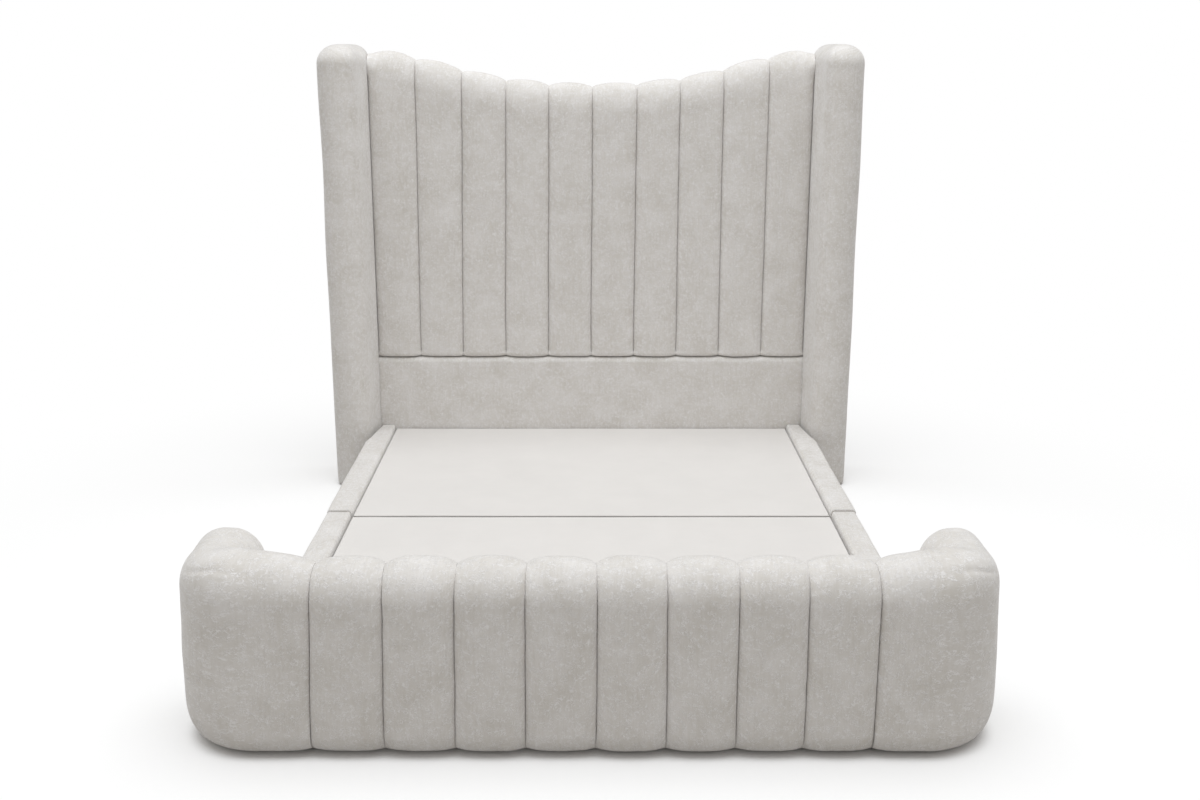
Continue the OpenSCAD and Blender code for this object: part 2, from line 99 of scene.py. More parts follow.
PITCH = HEAD_HIGH[0] - HEAD_LOW[0] + FIT
HEAD_CHANNELS = 10
FOOT_CHANNELS = 8
HEAD_Y = BAND_LOW[1]
CHANNEL_Z = HEAD_LOW[2]
FOOT_TOP = FOOT_HIGH[2]
FOOT_R = (FOOT_HIGH[1] - FOOT_LOW[1]) / 2
FOOT_MID = (FOOT_HIGH[1] + FOOT_LOW[1]) / 2
# The channels' filling hangs this far over the band
HEM_DROP = 5 * MM
RETURN_R = (BOLSTER_HIGH[0] - SIDE_HIGH[0] - FIT) / 2
# How far each seam leans towards the right: the headboard's at their tops, the footboard's at
# their lower ends and at their tops
HEAD_LEAN = [v * MM for v in (0, 9, 15, 14, 9, 6, 6, 1, -3, 0, 0)]
FOOT_LEAN_LOW = [v * MM for v in (-9, 1, 4, 7, 9, 10, 12, 9, 9)]
FOOT_LEAN_TOP = [v * MM for v in (6, 8, 11, 10, 11, 10, 12, 9, 9)]


def colour_property(name, text, code):
    """A colour setting whose default is an sRGB hex code."""
    return FloatVectorProperty(
        name=name, description=text, subtype="COLOR", size=3, min=0, max=1,
        default=linear(code))


def length_property(name, text, default, low, high):
    """A length setting, in metres."""
    return FloatProperty(
        name=name, description=text, default=default, min=low, max=high,
        unit="LENGTH", subtype="DISTANCE")


class BedSizes(PropertyGroup):
    """Sizes of the padding that the frame's boxes don't give."""

    mid_top: length_property(
        "Headboard middle", "Height of the headboard in its middle", 1.495, 1.2, 1.6)
    swoop: length_property(
        "Swoop radius", "Radius of the curve along the headboard's top", 2.4, 2.0, 4.0)
    seam: length_property(
        "Seam depth", "How deep the seams draw the cloth in", 24 * MM, 0.01, 0.03)
    roll: length_property(
        "Headboard roll", "Depth of the rounded top of a channel", 72 * MM, 0.04, 0.08)
    roll_height: length_property(
        "Roll height", "Height of the rounded top of a channel", 115 * MM, 0.04, 0.12)
    low_round: length_property(
        "Channel end", "Radius of a headboard channel's lower end", 15 * MM, 0.01, 0.03)
    foot_low: length_property(
        "Footboard lower edge", "Radius of the footboard's lower edge", 62 * MM, 0.04, 0.07)
    corner_low: length_property(
        "Corner edge width", "Width of the rounded lower edge at the corner", 52 * MM, 0.04, 0.08)
    corner_rise: length_property(
        "Corner edge height", "Height of the rounded lower edge at the corner", 96 * MM, 0.05, 0.14)
    corner_full: length_property(
        "Corner fullness", "How much fuller a bolster's top is at its corner", 8 * MM, 0.0, 0.02)
    nose: length_property(
        "Wing nose", "Depth of the rounded front of a wing", 65 * MM, 0.04, 0.08)
    splay: length_property(
        "Wing splay", "How far a wing opens towards its front", 15 * MM, 0.0, 0.02)
    wing_round: length_property(
        "Wing crown", "Height of the rounded part of a wing", 70 * MM, 0.05, 0.10)
    corner: length_property(
        "Corner radius", "Radius of a corner bolster's centre line", 100 * MM, 0.09, 0.14)
    end_round: length_property(
        "Bolster end", "Length of a bolster's rounded end", 75 * MM, 0.06, 0.08)
    rail_round: length_property(
        "Rail edge", "Radius of the rails' outer edges", 15 * MM, 0.01, 0.02)
    slack: length_property(
        "Slack", "Height of the soft waves in the cloth", 1.6 * MM, 0.0, 0.004)
    pucker: length_property(
        "Puckers", "Height of the small folds along a seam", 1.1 * MM, 0.0, 0.003)


class BedColours(PropertyGroup):
    """Colours of the finishes."""

    plush_light: colour_property("Plush, light", "Nap that lies towards you", "#ebe9e8")
    plush_dark: colour_property("Plush, dark", "Nap that lies away from you", "#d0ccc6")
    deck: colour_property("Deck cloth", "Woven cloth of the deck", "#dcd9d6")
    backing: colour_property("Backing cloth", "Cloth of the headboard's back", "#4a4744")
    pine: colour_property("Pine", "Planed boards", "#d9b98a")
    # Dark film on the panels, which is also painted shade where the boards show through the gaps
    # between the pads and between the deck panels
    plywood: colour_property("Plywood film", "Dark film on the panels", "#3b332d")
    nylon: colour_property("Nylon", "Moulded glides", "#2b2b2b")
    zinc: colour_property("Zinc plate", "Bolts and nuts", "#b8bcc0")


class BedStage(PropertyGroup):
    """Levels of the studio light."""

    sky: FloatProperty(
        name="Surround", description="Level of the even light from all sides",
        default=0.462, min=0, max=2)
    lamp: FloatProperty(
        name="Overhead lamp", description="Power of the soft lamp above the bed",
        default=332, min=0, max=1000, unit="POWER")


# Numpy surfaces

def ease(t):
    """Smooth step: 3 t squared less 2 t cubed, held at 0 below 0 and at 1 above 1."""
    t = np.clip(t, 0, 1)
    return t * t * (3 - 2 * t)


def bell(value, centre, width):
    """Bell curve: e to the minus square of the distance from the centre in widths."""
    return np.exp(-((value - centre) / width) ** 2)


def ripple(x, y, seed):
    """Smooth random waves from -1 to 1, one unit apart: lattice values blended by ease()."""
    lattice = np.random.default_rng(seed).uniform(-1, 1, (64, 64))
    x, y = np.broadcast_arrays(x, y)
    column, row = np.floor(x).astype(int), np.floor(y).astype(int)
    fx, fy = ease(x - column), ease(y - row)
    c0, c1, r0, r1 = column % 64, (column + 1) % 64, row % 64, (row + 1) % 64
    near = lattice[r0, c0] * (1 - fx) + lattice[r0, c1] * fx
    far = lattice[r1, c0] * (1 - fx) + lattice[r1, c1] * fx
    return near * (1 - fy) + far * fy


def waves(x, y, coarse, fine, seed):
    """Sum of coarse and fine waves, each a height times ripple() of x and y over its lengths."""
    (tall, long_x, long_y), (low, short_x, short_y) = coarse, fine
    return tall * ripple(x / long_x, y / long_y, seed) + low * ripple(
        x / short_x, y / short_y, seed + 1)


def outward(grid):
    """Unit normals of a grid: the cross product of its two slopes, turned away from its middle."""
    down, across = np.gradient(grid, axis=0), np.gradient(grid, axis=1)
    normal = np.cross(down, across)
    normal /= np.maximum(np.linalg.norm(normal, axis=2, keepdims=True), 1e-12)
    away = grid - grid.reshape(-1, 3).mean(axis=0)
    return normal * np.sign(np.sum(normal * away))


def push(grid, amount):
    """Moves each point of a grid along its normal by amount, in metres."""
    return grid + outward(grid) * np.asarray(amount)[..., None]


def run_length(grid, axis):
    """Distance walked along a grid's rows or columns, in metres."""
    step = np.linalg.norm(np.diff(grid, axis=axis), axis=2)
    return np.insert(np.cumsum(step, axis=axis), 0, 0, axis=axis)


def drawn_in(u, depth, box):
    """How deep a seam draws the cloth in: depth times 1 less (1 - |u|^p)^q.

    From box 0 to 1, p goes from 2 to 4.6 and q from 0.95 to 0.48: from a loaf's arch to a
    flat face between sharp seams.
    """
    return depth * (1 - (1 - np.abs(u) ** (2 + 2.6 * box)) ** (0.95 - 0.47 * box))


def across_channel(count):
    """Positions from -1 to 1 across a channel, a sine of even steps, close at the seams."""
    return np.sin(np.linspace(-np.pi / 2, np.pi / 2, count))


def arc(y, z, radius, start, end, count, weight, height=None):
    """Points of an arc in a section, with their normal angle and seam weight.

    Each is the centre plus the radius times the angle's cosine, and the height times its
    sine. With a height of its own the arc is part of an ellipse. Centre and sizes may
    change from column to column, as the ends in line() may.
    """
    a = np.radians(np.linspace(start, end, count, endpoint=False))[:, None]
    w = np.linspace(*weight, count, endpoint=False)[:, None]
    one = np.ones_like(a + y + z)
    tilt = a
    if height is None:
        height = radius
    else:
        tilt = np.arctan2(radius * np.sin(a), height * np.cos(a))
    return np.stack([(y + radius * np.cos(a)) * one, (z + height * np.sin(a)) * one,
                     tilt * one, w * one])


def line(y0, z0, y1, z1, angle, count, weight):
    """Points of a straight stretch of a section, with their normal angle and seam weight.

    Each is the first end plus t times the way to the second, for t from 0 to just under 1.
    """
    t = np.linspace(0, 1, count, endpoint=False)[:, None]
    w = weight[0] + (weight[1] - weight[0]) * t
    one = np.ones_like(t + y0 + y1 + z0 + z1)
    return np.stack([(y0 + (y1 - y0) * t) * one, (z0 + (z1 - z0) * t) * one,
                     np.radians(angle) * one, w * one])


def joined(*stretches):
    """One section from its stretches, each made as wide as the widest."""
    columns = max(stretch.shape[2] for stretch in stretches)
    return np.concatenate(
        [np.broadcast_to(stretch, (*stretch.shape[:2], columns)) for stretch in stretches], axis=1)


def down_run(y, z):
    """Distance walked down a section, the sum of its steps, in metres."""
    return run_length(np.stack([0 * y, y, z], axis=2), 0)


def raised(x, y, z, rise, angle):
    """The grid of a section whose points rise along their normals, by cosine and sine."""
    return np.stack([x, y + rise * np.cos(angle), z + rise * np.sin(angle)], axis=2)


def inner_edge(outer, x, y_range, z_range):
    """The two columns behind a pad's seams: at their own x, held within ranges of y and z."""
    edge = outer[:, [0, -1]].copy()
    edge[..., 0] = x
    edge[..., 1] = np.clip(edge[..., 1], *y_range)
    edge[..., 2] = np.clip(edge[..., 2], *z_range)
    return edge


def zipped(ring):
    """Quads that close a ring of vertices by pairing its two halves."""
    ring = np.asarray(ring)
    half = len(ring) // 2 - 1
    i = np.arange(half)
    other = len(ring) - 1 - i
    return np.stack([ring[i], ring[i + 1], ring[other - 1], ring[other]], axis=1)


def strip(first, second):
    """Quads between two rows of vertices."""
    return np.stack([first[:-1], first[1:], second[1:], second[:-1]], axis=1)


def shell(name, outer, inner=None, across=None, down=None, shift=0.0):
    """Closed mesh of a pad: its outer grid, walls to the inner grid of two columns, and end caps.

    Without an inner grid the first and last columns are joined straight across.
    The UV map runs across and down the cloth in metres, moved by shift.
    """
    rows, columns = outer.shape[:2]
    index = np.arange(rows * columns).reshape(rows, columns)
    points = [outer.reshape(-1, 3)]
    quads = [np.stack([index[:-1, :-1], index[:-1, 1:], index[1:, 1:], index[1:, :-1]],
                      axis=2).reshape(-1, 4)]
    first, last = index[:, 0], index[:, -1]
    rims = [index[0], index[-1]]
    if inner is not None:
        back = rows * columns + np.arange(rows * 2).reshape(rows, 2)
        points.append(inner.reshape(-1, 3))
        quads += [strip(back[:, 0], first), strip(last, back[:, 1]), strip(back[:, 1], back[:, 0])]
        rims = [np.concatenate([rim, back[row, ::-1]]) for rim, row in zip(rims, (0, -1))]
    else:
        quads.append(strip(last, first))
    smooth = len(quads[0])
    quads += [zipped(rims[0])[:, ::-1], zipped(rims[1])]
    points, faces = np.vstack(points), np.vstack(quads)
    a, b, c, d = (points[faces[:, k]] for k in range(4))
    volume = np.sum(a * np.cross(b, c)) + np.sum(a * np.cross(c, d))
    if volume < 0:
        faces = faces[:, ::-1]
    mesh = bpy.data.meshes.new(name)
    mesh.from_pydata(points.tolist(), [], faces.tolist())
    soft = np.zeros(len(faces), bool)
    soft[:smooth] = True
    mesh.polygons.foreach_set("use_smooth", soft)
    across = run_length(outer, 1) if across is None else across
    down = run_length(outer, 0) if down is None else down
    uv = np.stack([across + shift, down + shift], axis=2).reshape(-1, 2)
    if inner is not None:
        uv = np.vstack([uv, uv.reshape(rows, columns, 2)[:, [0, -1]].reshape(-1, 2)])
    corners = np.empty(len(mesh.loops), np.int32)
    mesh.loops.foreach_get("vertex_index", corners)
    mesh.uv_layers.new(name="cloth").data.foreach_set("uv", uv[corners].astype(np.float32).ravel())
    mesh.update()
    return mesh


def put_pad(mesh, node, material=None, body="bed_frame"):
    """Adds a padded piece in place of its CAD node, riding on that node's body."""
    piece = bpy.data.objects.new(mesh.name, mesh)
    bpy.context.scene.collection.objects.link(piece)
    mesh.materials.append(material or brushed_plush())
    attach(piece, body)
    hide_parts(node)
    return piece


# Finishes

def add_node(tree, kind, inputs=None, **settings):
    """Adds a node, sets its settings, and links or fills its inputs."""
    made = tree.nodes.new(kind)
    for key, value in settings.items():
        setattr(made, key, value)
    for key, value in (inputs or {}).items():
        if isinstance(value, bpy.types.NodeSocket):
            tree.links.new(value, made.inputs[key])
        else:
            made.inputs[key].default_value = value
    return made


def new_material(name):
    """A new material, with its node tree and its Principled shader."""
    material = bpy.data.materials.new(name)
    material.use_nodes = True
    shader = material.node_tree.nodes["Principled BSDF"]
    return material, material.node_tree, shader


def brushed_plush():
    """Short-pile polyester plush, knitted and brushed.

    Pile that leans different ways gives soft patches of light and dark, faint
    brush marks down the nap, curled fibre ends, and a pale bloom at the edges.
    """
    made = bpy.data.materials.get("BrushedPlush")
    if made:
        return made
    colours = bpy.context.scene.bed_colours
    material, tree, shader = new_material("BrushedPlush")
    cloth = add_node(tree, "ShaderNodeUVMap", uv_map="cloth").outputs["UV"]
    # Patches of nap about 90 mm wide, and smaller ones of 16 mm
    patches = add_node(tree, "ShaderNodeTexNoise", {
        "Vector": cloth, "Scale": 1 / 0.09, "Detail": 3, "Roughness": 0.55, "Distortion": 0.4})
    flecks = add_node(tree, "ShaderNodeTexNoise", {
        "Vector": cloth, "Scale": 1 / 0.016, "Detail": 3, "Roughness": 0.6, "Distortion": 0.8})
    # Brush marks down the nap, about 6 mm apart and 60 mm long
    drawn = add_node(tree, "ShaderNodeMapping", {
        "Vector": cloth, "Scale": (1 / 0.006, 1 / 0.06, 1)})
    marks = add_node(tree, "ShaderNodeTexNoise", {
        "Vector": drawn.outputs["Vector"], "Scale": 1, "Detail": 2, "Roughness": 0.5})
    # Curled fibre ends: thin level lines of an 8 mm noise, broken up, and drawn over 1 mm wide
    # so that they show
    curls = add_node(tree, "ShaderNodeTexNoise", {
        "Vector": cloth, "Scale": 1 / 0.008, "Detail": 1, "Distortion": 1.4})
    curls = add_node(tree, "ShaderNodeMath", {0: curls.outputs["Fac"], 1: 0.5},
                     operation="SUBTRACT")
    curls = add_node(tree, "ShaderNodeMath", {0: curls.outputs[0]}, operation="ABSOLUTE")
    curls = add_node(tree, "ShaderNodeMapRange", {
        "Value": curls.outputs[0], "From Max": 0.07, "To Min": 1, "To Max": 0})
    broken = add_node(tree, "ShaderNodeTexNoise", {
        "Vector": cloth, "Scale": 1 / 0.017, "Detail": 1})
    broken = add_node(tree, "ShaderNodeMapRange", {
        "Value": broken.outputs["Fac"], "From Min": 0.42, "From Max": 0.58})
    curls = add_node(tree, "ShaderNodeMath", {0: curls.outputs[0], 1: broken.outputs[0]},
                     operation="MULTIPLY")
    # The pile itself, drawn 3 mm coarse
    fibres = add_node(tree, "ShaderNodeTexNoise", {
        "Vector": cloth, "Scale": 1 / 0.0032, "Detail": 2, "Roughness": 0.7, "Distortion": 1.6})
    # Each pattern's share in the cloth's lightness, moved to lie round the middle
    level = add_node(tree, "ShaderNodeMath", {
        0: patches.outputs["Fac"], 1: 1.1, 2: -0.55}, operation="MULTIPLY_ADD")
    for pattern, share in ((flecks, 0.3), (marks, 0.6), (fibres, 0.6), (curls, 1.4)):
        level = add_node(tree, "ShaderNodeMath", {
            0: pattern.outputs[0], 1: share, 2: level.outputs[0]}, operation="MULTIPLY_ADD")
    level = add_node(tree, "ShaderNodeMath", {0: level.outputs[0], 1: 0.44}, operation="SUBTRACT",
                     use_clamp=True)
    tint = add_node(tree, "ShaderNodeMix", {
        "Factor": level.outputs[0], 6: (*colours.plush_dark, 1), 7: (*colours.plush_light, 1)},
        data_type="RGBA")
    relief = add_node(tree, "ShaderNodeBump", {
        "Height": flecks.outputs["Fac"], "Strength": 0.35, "Distance": 1.2 * MM})
    pile = add_node(tree, "ShaderNodeBump", {
        "Height": fibres.outputs["Fac"], "Normal": relief.outputs["Normal"],
        "Strength": 0.45, "Distance": 0.6 * MM})
    pile = add_node(tree, "ShaderNodeBump", {
        "Height": curls.outputs[0], "Normal": pile.outputs["Normal"],
        "Strength": 0.6, "Distance": 0.9 * MM})
    tree.links.new(tint.outputs[2], shader.inputs["Base Color"])
    tree.links.new(pile.outputs["Normal"], shader.inputs["Normal"])
    shader.inputs["Roughness"].default_value = 0.9
    shader.inputs["Specular IOR Level"].default_value = 0.15
    shader.inputs["Sheen Weight"].default_value = 0.6
    shader.inputs["Sheen Roughness"].default_value = 0.4
    return material


def deck_weave():
    """Plain-woven polyester platform cloth: close threads, with thicker ones across."""
    made = bpy.data.materials.get("DeckWeave")
    if made:
        return made
    colours = bpy.context.scene.bed_colours
    material, tree, shader = new_material("DeckWeave")
    place = add_node(tree, "ShaderNodeTexCoord").outputs["Object"]
    # Slubs in the weft, 60 mm long and 2 mm apart, so that the rows show
    drawn = add_node(tree, "ShaderNodeMapping", {
        "Vector": place, "Scale": (1 / 0.06, 1 / 0.002, 1)})
    slubs = add_node(tree, "ShaderNodeTexNoise", {
        "Vector": drawn.outputs["Vector"], "Scale": 1, "Detail": 2, "Roughness": 0.6})
    clouds = add_node(tree, "ShaderNodeTexNoise", {"Vector": place, "Scale": 1 / 0.12, "Detail": 2})
    level = add_node(tree, "ShaderNodeMath", {
        0: slubs.outputs["Fac"], 1: 0.6, 2: clouds.outputs["Fac"]}, operation="MULTIPLY_ADD")
    darker = tuple(0.93 * v for v in colours.deck)
    tint = add_node(tree, "ShaderNodeMix", {
        "Factor": level.outputs[0], 6: (*darker, 1), 7: (*colours.deck, 1)}, data_type="RGBA")
    relief = add_node(tree, "ShaderNodeBump", {
        "Height": slubs.outputs["Fac"], "Strength": 0.3, "Distance": 0.3 * MM})
    tree.links.new(tint.outputs[2], shader.inputs["Base Color"])
    tree.links.new(relief.outputs["Normal"], shader.inputs["Normal"])
    shader.inputs["Roughness"].default_value = 0.85
    shader.inputs["Specular IOR Level"].default_value = 0.2
    shader.inputs["Sheen Weight"].default_value = 0.1
    return material


def spunbond():
    """Dark grey spunbonded polypropylene, pressed with a fine dimple pattern."""
    material, tree, shader = new_material("SpunbondBacking")
    place = add_node(tree, "ShaderNodeTexCoord").outputs["Object"]
    # Dimples 2.5 mm apart
    dimples = add_node(tree, "ShaderNodeTexVoronoi", {
        "Vector": place, "Scale": 1 / 0.0025, "Randomness": 0.25})
    cloudy = add_node(tree, "ShaderNodeTexNoise", {"Vector": place, "Scale": 1 / 0.03, "Detail": 4})
    colour = bpy.context.scene.bed_colours.backing
    darker = tuple(0.75 * v for v in colour)
    tint = add_node(tree, "ShaderNodeMix", {
        "Factor": cloudy.outputs["Fac"], 6: (*darker, 1), 7: (*colour, 1)}, data_type="RGBA")
    relief = add_node(tree, "ShaderNodeBump", {
        "Height": dimples.outputs["Distance"], "Strength": 0.5, "Distance": 0.3 * MM})
    tree.links.new(tint.outputs[2], shader.inputs["Base Color"])
    tree.links.new(relief.outputs["Normal"], shader.inputs["Normal"])
    shader.inputs["Roughness"].default_value = 0.7
    return material


def planed_wood(name, colour, along, ring):
    """Planed softwood: grain drawn out along one axis, satin from the planer."""
    material, tree, shader = new_material(name)
    place = add_node(tree, "ShaderNodeTexCoord").outputs["Object"]
    # Grain lines are ring apart and 400 mm long
    stretch = [1 / ring] * 3
    stretch[along] = 1 / 0.4
    drawn = add_node(tree, "ShaderNodeMapping", {"Vector": place, "Scale": stretch})
    grain = add_node(tree, "ShaderNodeTexNoise", {
        "Vector": drawn.outputs["Vector"], "Scale": 1, "Detail": 4, "Roughness": 0.65,
        "Distortion": 0.6})
    darker = (0.62 * colour[0], 0.52 * colour[1], 0.42 * colour[2])
    tint = add_node(tree, "ShaderNodeMix", {
        "Factor": grain.outputs["Fac"], 6: (*darker, 1), 7: (*colour, 1)}, data_type="RGBA")
    relief = add_node(tree, "ShaderNodeBump", {
        "Height": grain.outputs["Fac"], "Strength": 0.3, "Distance": 0.4 * MM})
    tree.links.new(tint.outputs[2], shader.inputs["Base Color"])
    tree.links.new(relief.outputs["Normal"], shader.inputs["Normal"])
    shader.inputs["Roughness"].default_value = 0.6
    return material


def dark_film_finish_with_gap_shade():
    """Plywood faced with dark phenolic film, with the faint mesh that the press leaves. Its dark
    colour is also painted shade where the boards show through the gaps.
    """
    material, tree, shader = new_material("FilmFacedPlywoodAndGapShade")
    place = add_node(tree, "ShaderNodeTexCoord").outputs["Object"]
    # Mesh marks 3 mm apart, and clouds in the resin 80 mm wide
    mesh_marks = add_node(tree, "ShaderNodeTexVoronoi", {
        "Vector": place, "Scale": 1 / 0.003, "Randomness": 0.05})
    clouds = add_node(tree, "ShaderNodeTexNoise", {"Vector": place, "Scale": 1 / 0.08, "Detail": 4})
    # The dark film colour, partly painted shade for the gaps through which these boards show
    colour = bpy.context.scene.bed_colours.plywood
    paler = tuple(1.5 * v for v in colour)
    tint = add_node(tree, "ShaderNodeMix", {
        "Factor": clouds.outputs["Fac"], 6: (*colour, 1), 7: (*paler, 1)}, data_type="RGBA")
    relief = add_node(tree, "ShaderNodeBump", {
        "Height": mesh_marks.outputs["Distance"], "Strength": 0.25, "Distance": 0.2 * MM})
    tree.links.new(tint.outputs[2], shader.inputs["Base Color"])
    tree.links.new(relief.outputs["Normal"], shader.inputs["Normal"])
    shader.inputs["Roughness"].default_value = 0.5
    return material


def moulded_nylon():
    """Injection-moulded nylon with a fine spark-eroded grain."""
    material, tree, shader = new_material("MouldedNylon")
    place = add_node(tree, "ShaderNodeTexCoord").outputs["Object"]
    # Grain about 0.8 mm across
    grain = add_node(tree, "ShaderNodeTexNoise", {
        "Vector": place, "Scale": 1 / 0.0008, "Detail": 2})
    scuffs = add_node(tree, "ShaderNodeTexNoise", {
        "Vector": place, "Scale": 1 / 0.012, "Detail": 3})
    colour = bpy.context.scene.bed_colours.nylon
    paler = tuple(1.6 * v for v in colour)
    tint = add_node(tree, "ShaderNodeMix", {
        "Factor": scuffs.outputs["Fac"], 6: (*colour, 1), 7: (*paler, 1)}, data_type="RGBA")
    relief = add_node(tree, "ShaderNodeBump", {
        "Height": grain.outputs["Fac"], "Strength": 0.4, "Distance": 0.1 * MM})
    tree.links.new(tint.outputs[2], shader.inputs["Base Color"])
    tree.links.new(relief.outputs["Normal"], shader.inputs["Normal"])
    shader.inputs["Roughness"].default_value = 0.55
    return material


def zinc_plate():
    """Bright zinc-plated steel, blue-white and slightly uneven."""
    material, tree, shader = new_material("ZincPlate")
    place = add_node(tree, "ShaderNodeTexCoord").outputs["Object"]
    # Plating clouds about 6 mm across
    clouds = add_node(tree, "ShaderNodeTexNoise", {
        "Vector": place, "Scale": 1 / 0.006, "Detail": 3})
    rough = add_node(tree, "ShaderNodeMapRange", {
        "Value": clouds.outputs["Fac"], "To Min": 0.25, "To Max": 0.5})
    colour = bpy.context.scene.bed_colours.zinc
    darker = tuple(0.8 * v for v in colour)
    tint = add_node(tree, "ShaderNodeMix", {
        "Factor": clouds.outputs["Fac"], 6: (*darker, 1), 7: (*colour, 1)}, data_type="RGBA")
    tree.links.new(tint.outputs[2], shader.inputs["Base Color"])
    tree.links.new(rough.outputs[0], shader.inputs["Roughness"])
    shader.inputs["Metallic"].default_value = 1
    return material


def background_rays(tree):
    """1 for the rays that see the plain white background: camera, glossy and transmitted ones."""
    rays = add_node(tree, "ShaderNodeLightPath")
    seen = add_node(tree, "ShaderNodeMath", {
        0: rays.outputs["Is Camera Ray"], 1: rays.outputs["Is Glossy Ray"]}, operation="MAXIMUM")
    return add_node(tree, "ShaderNodeMath", {
        0: seen.outputs[0], 1: rays.outputs["Is Transmission Ray"]}, operation="MAXIMUM")


# Operators, one for each group of pieces

class BED_OT_stage(Operator):
    """Makes the studio: floor, surround, overhead lamp and camera"""

    bl_idname = "bed.stage"
    bl_label = "Studio"

    def execute(self, context):
        stage = context.scene.bed_stage
        self.floor(context)
        self.surround(context, stage.sky)
        self.lamp(context, stage.lamp)
        self.camera(context)
        context.scene.view_settings.view_transform = "Standard"
        return {"FINISHED"}

    def floor(self, context):
        """White floor for the camera, mid grey for bounced light, with shadows on it."""
        half = 30
        mesh = bpy.data.meshes.new("studio_floor")
        mesh.from_pydata([(-half, -half, 0), (half, -half, 0), (half, half, 0), (-half, half, 0)],
                         [], [(0, 1, 2, 3)])
        floor = bpy.data.objects.new("studio_floor", mesh)
        context.scene.collection.objects.link(floor)
        material, tree, shader = new_material("PaintedFloor")
        seen = background_rays(tree)
        tint = add_node(tree, "ShaderNodeMix", {
            "Factor": seen.outputs[0], 6: (0.6, 0.585, 0.565, 1), 7: (0.98, 0.98, 0.98, 1)},
            data_type="RGBA")
        tree.links.new(tint.outputs[2], shader.inputs["Base Color"])
        shader.inputs["Roughness"].default_value = 1
        shader.inputs["Specular IOR Level"].default_value = 0
        # Its glow rises from 45% near the bed to plain white 2.8 m from the middle
        place = add_node(tree, "ShaderNodeTexCoord").outputs["Object"]
        far = add_node(tree, "ShaderNodeVectorMath", {0: place}, operation="LENGTH")
        fade = add_node(tree, "ShaderNodeMapRange", {
            "Value": far.outputs["Value"], "From Min": 1.35, "From Max": 2.8, "To Min": 0.45},
            interpolation_type="SMOOTHSTEP")
        fade = add_node(tree, "ShaderNodeMath", {0: fade.outputs[0], 1: seen.outputs[0]},
                        operation="MULTIPLY")
        # In the narrow gap under the pads the floor keeps its own dark
        nook = add_node(tree, "ShaderNodeAmbientOcclusion", {"Distance": 0.05}, samples=12)
        clear = add_node(tree, "ShaderNodeMapRange", {
            "Value": nook.outputs["AO"], "From Min": 0.3, "From Max": 0.8})
        fade = add_node(tree, "ShaderNodeMath", {0: fade.outputs[0], 1: clear.outputs[0]},
                        operation="MULTIPLY")
        glow = add_node(tree, "ShaderNodeEmission", {"Color": (1, 1, 1, 1), "Strength": 1})
        blend = add_node(tree, "ShaderNodeMixShader", {
            0: fade.outputs[0], 1: shader.outputs[0], 2: glow.outputs[0]})
        output = tree.nodes["Material Output"]
        tree.links.new(blend.outputs[0], output.inputs["Surface"])
        mesh.materials.append(material)

    def surround(self, context, level):
        """White to the rays that see the background, warmer and dimmer to the rest."""
        world = bpy.data.worlds.new("Studio")
        world.use_nodes = True
        context.scene.world = world
        tree = world.node_tree
        seen = background_rays(tree)
        strength = add_node(tree, "ShaderNodeMapRange", {
            "Value": seen.outputs[0], "To Min": level, "To Max": 1.0})
        background = tree.nodes["Background"]
        tint = add_node(tree, "ShaderNodeMix", {
            "Factor": seen.outputs[0], 6: (1, 0.975, 0.945, 1), 7: (1, 1, 1, 1)}, data_type="RGBA")
        tree.links.new(tint.outputs[2], background.inputs["Color"])
        tree.links.new(strength.outputs[0], background.inputs["Strength"])

    def lamp(self, context, power):
        """Soft square lamp over the bed."""
        light = bpy.data.lights.new("overhead", "AREA")
        light.shape = "SQUARE"
        light.size = 6
        light.energy = power
        light.color = (0.95, 0.977, 1)
        lamp = bpy.data.objects.new("overhead", light)
        lamp.location = (0, -0.7, 6.2)
        context.scene.collection.objects.link(lamp)

    def camera(self, context):
        """Camera on the centre line, tilted down, as the photograph was taken."""
        picture_width = 1200
        focal_pixels = 1337.3
        centre_pixel = 588.8
        tilt_down = 14.85
        data = bpy.data.cameras.new("camera")
        data.sensor_width = 36
        data.lens = data.sensor_width * focal_pixels / picture_width
        data.shift_x = 0.5 - centre_pixel / picture_width
        camera = bpy.data.objects.new("camera", data)
        camera.location = (-0.008, -4.007, 1.629)
        camera.rotation_euler = (math.radians(90 - tilt_down), 0, 0)
        context.scene.collection.objects.link(camera)
        context.scene.camera = camera


def seam_line(seam, last, down, seed, size):
    """How far a seam strays sideways in small waves, the same for the two pads that it joins."""
    if seam in (0, last):
        return 0 * down
    # Each seam has its own lines of the lattice, which the two multiples pick
    return size * (
        ripple(down / 0.21, seam * 7.3, seed) + 0.4 * ripple(down / 0.06, seam * 3.1, seed + 1))


def foot_lean(seam, up):
    """How far a seam of the footboard leans to the right at a height above the footboard's foot."""
    share = ease(up / (FOOT_TOP - FOOT_LOW[2]))
    return FOOT_LEAN_LOW[seam] + (FOOT_LEAN_TOP[seam] - FOOT_LEAN_LOW[seam]) * share


def between_seams(mid, u, left, right):
    """Position at u across a pad: mid plus u half widths, plus each seam's stray times its share.

    A seam's share falls in a straight line from 1 at that seam to 0 at the other.
    """
    return mid + u * (PITCH - FIT) / 2 + left * (1 - u) / 2 + right * (1 + u) / 2


def swoop_height(sizes, x):
    """Height of the headboard's swoop at x: its middle height plus R less root (R^2 - x^2)."""
    return sizes.mid_top + sizes.swoop - np.sqrt(sizes.swoop**2 - x**2)


def hem(x):
    """Height of the line where channels meet the band: each channel sags, and the cloth waves."""
    u = 2 * np.mod((x - BAND_LOW[0]) / PITCH, 1) - 1
    return 1.4 * MM * ripple(x / 0.07, 0 * x, 61) - 1.4 * MM * (1 - u**2)


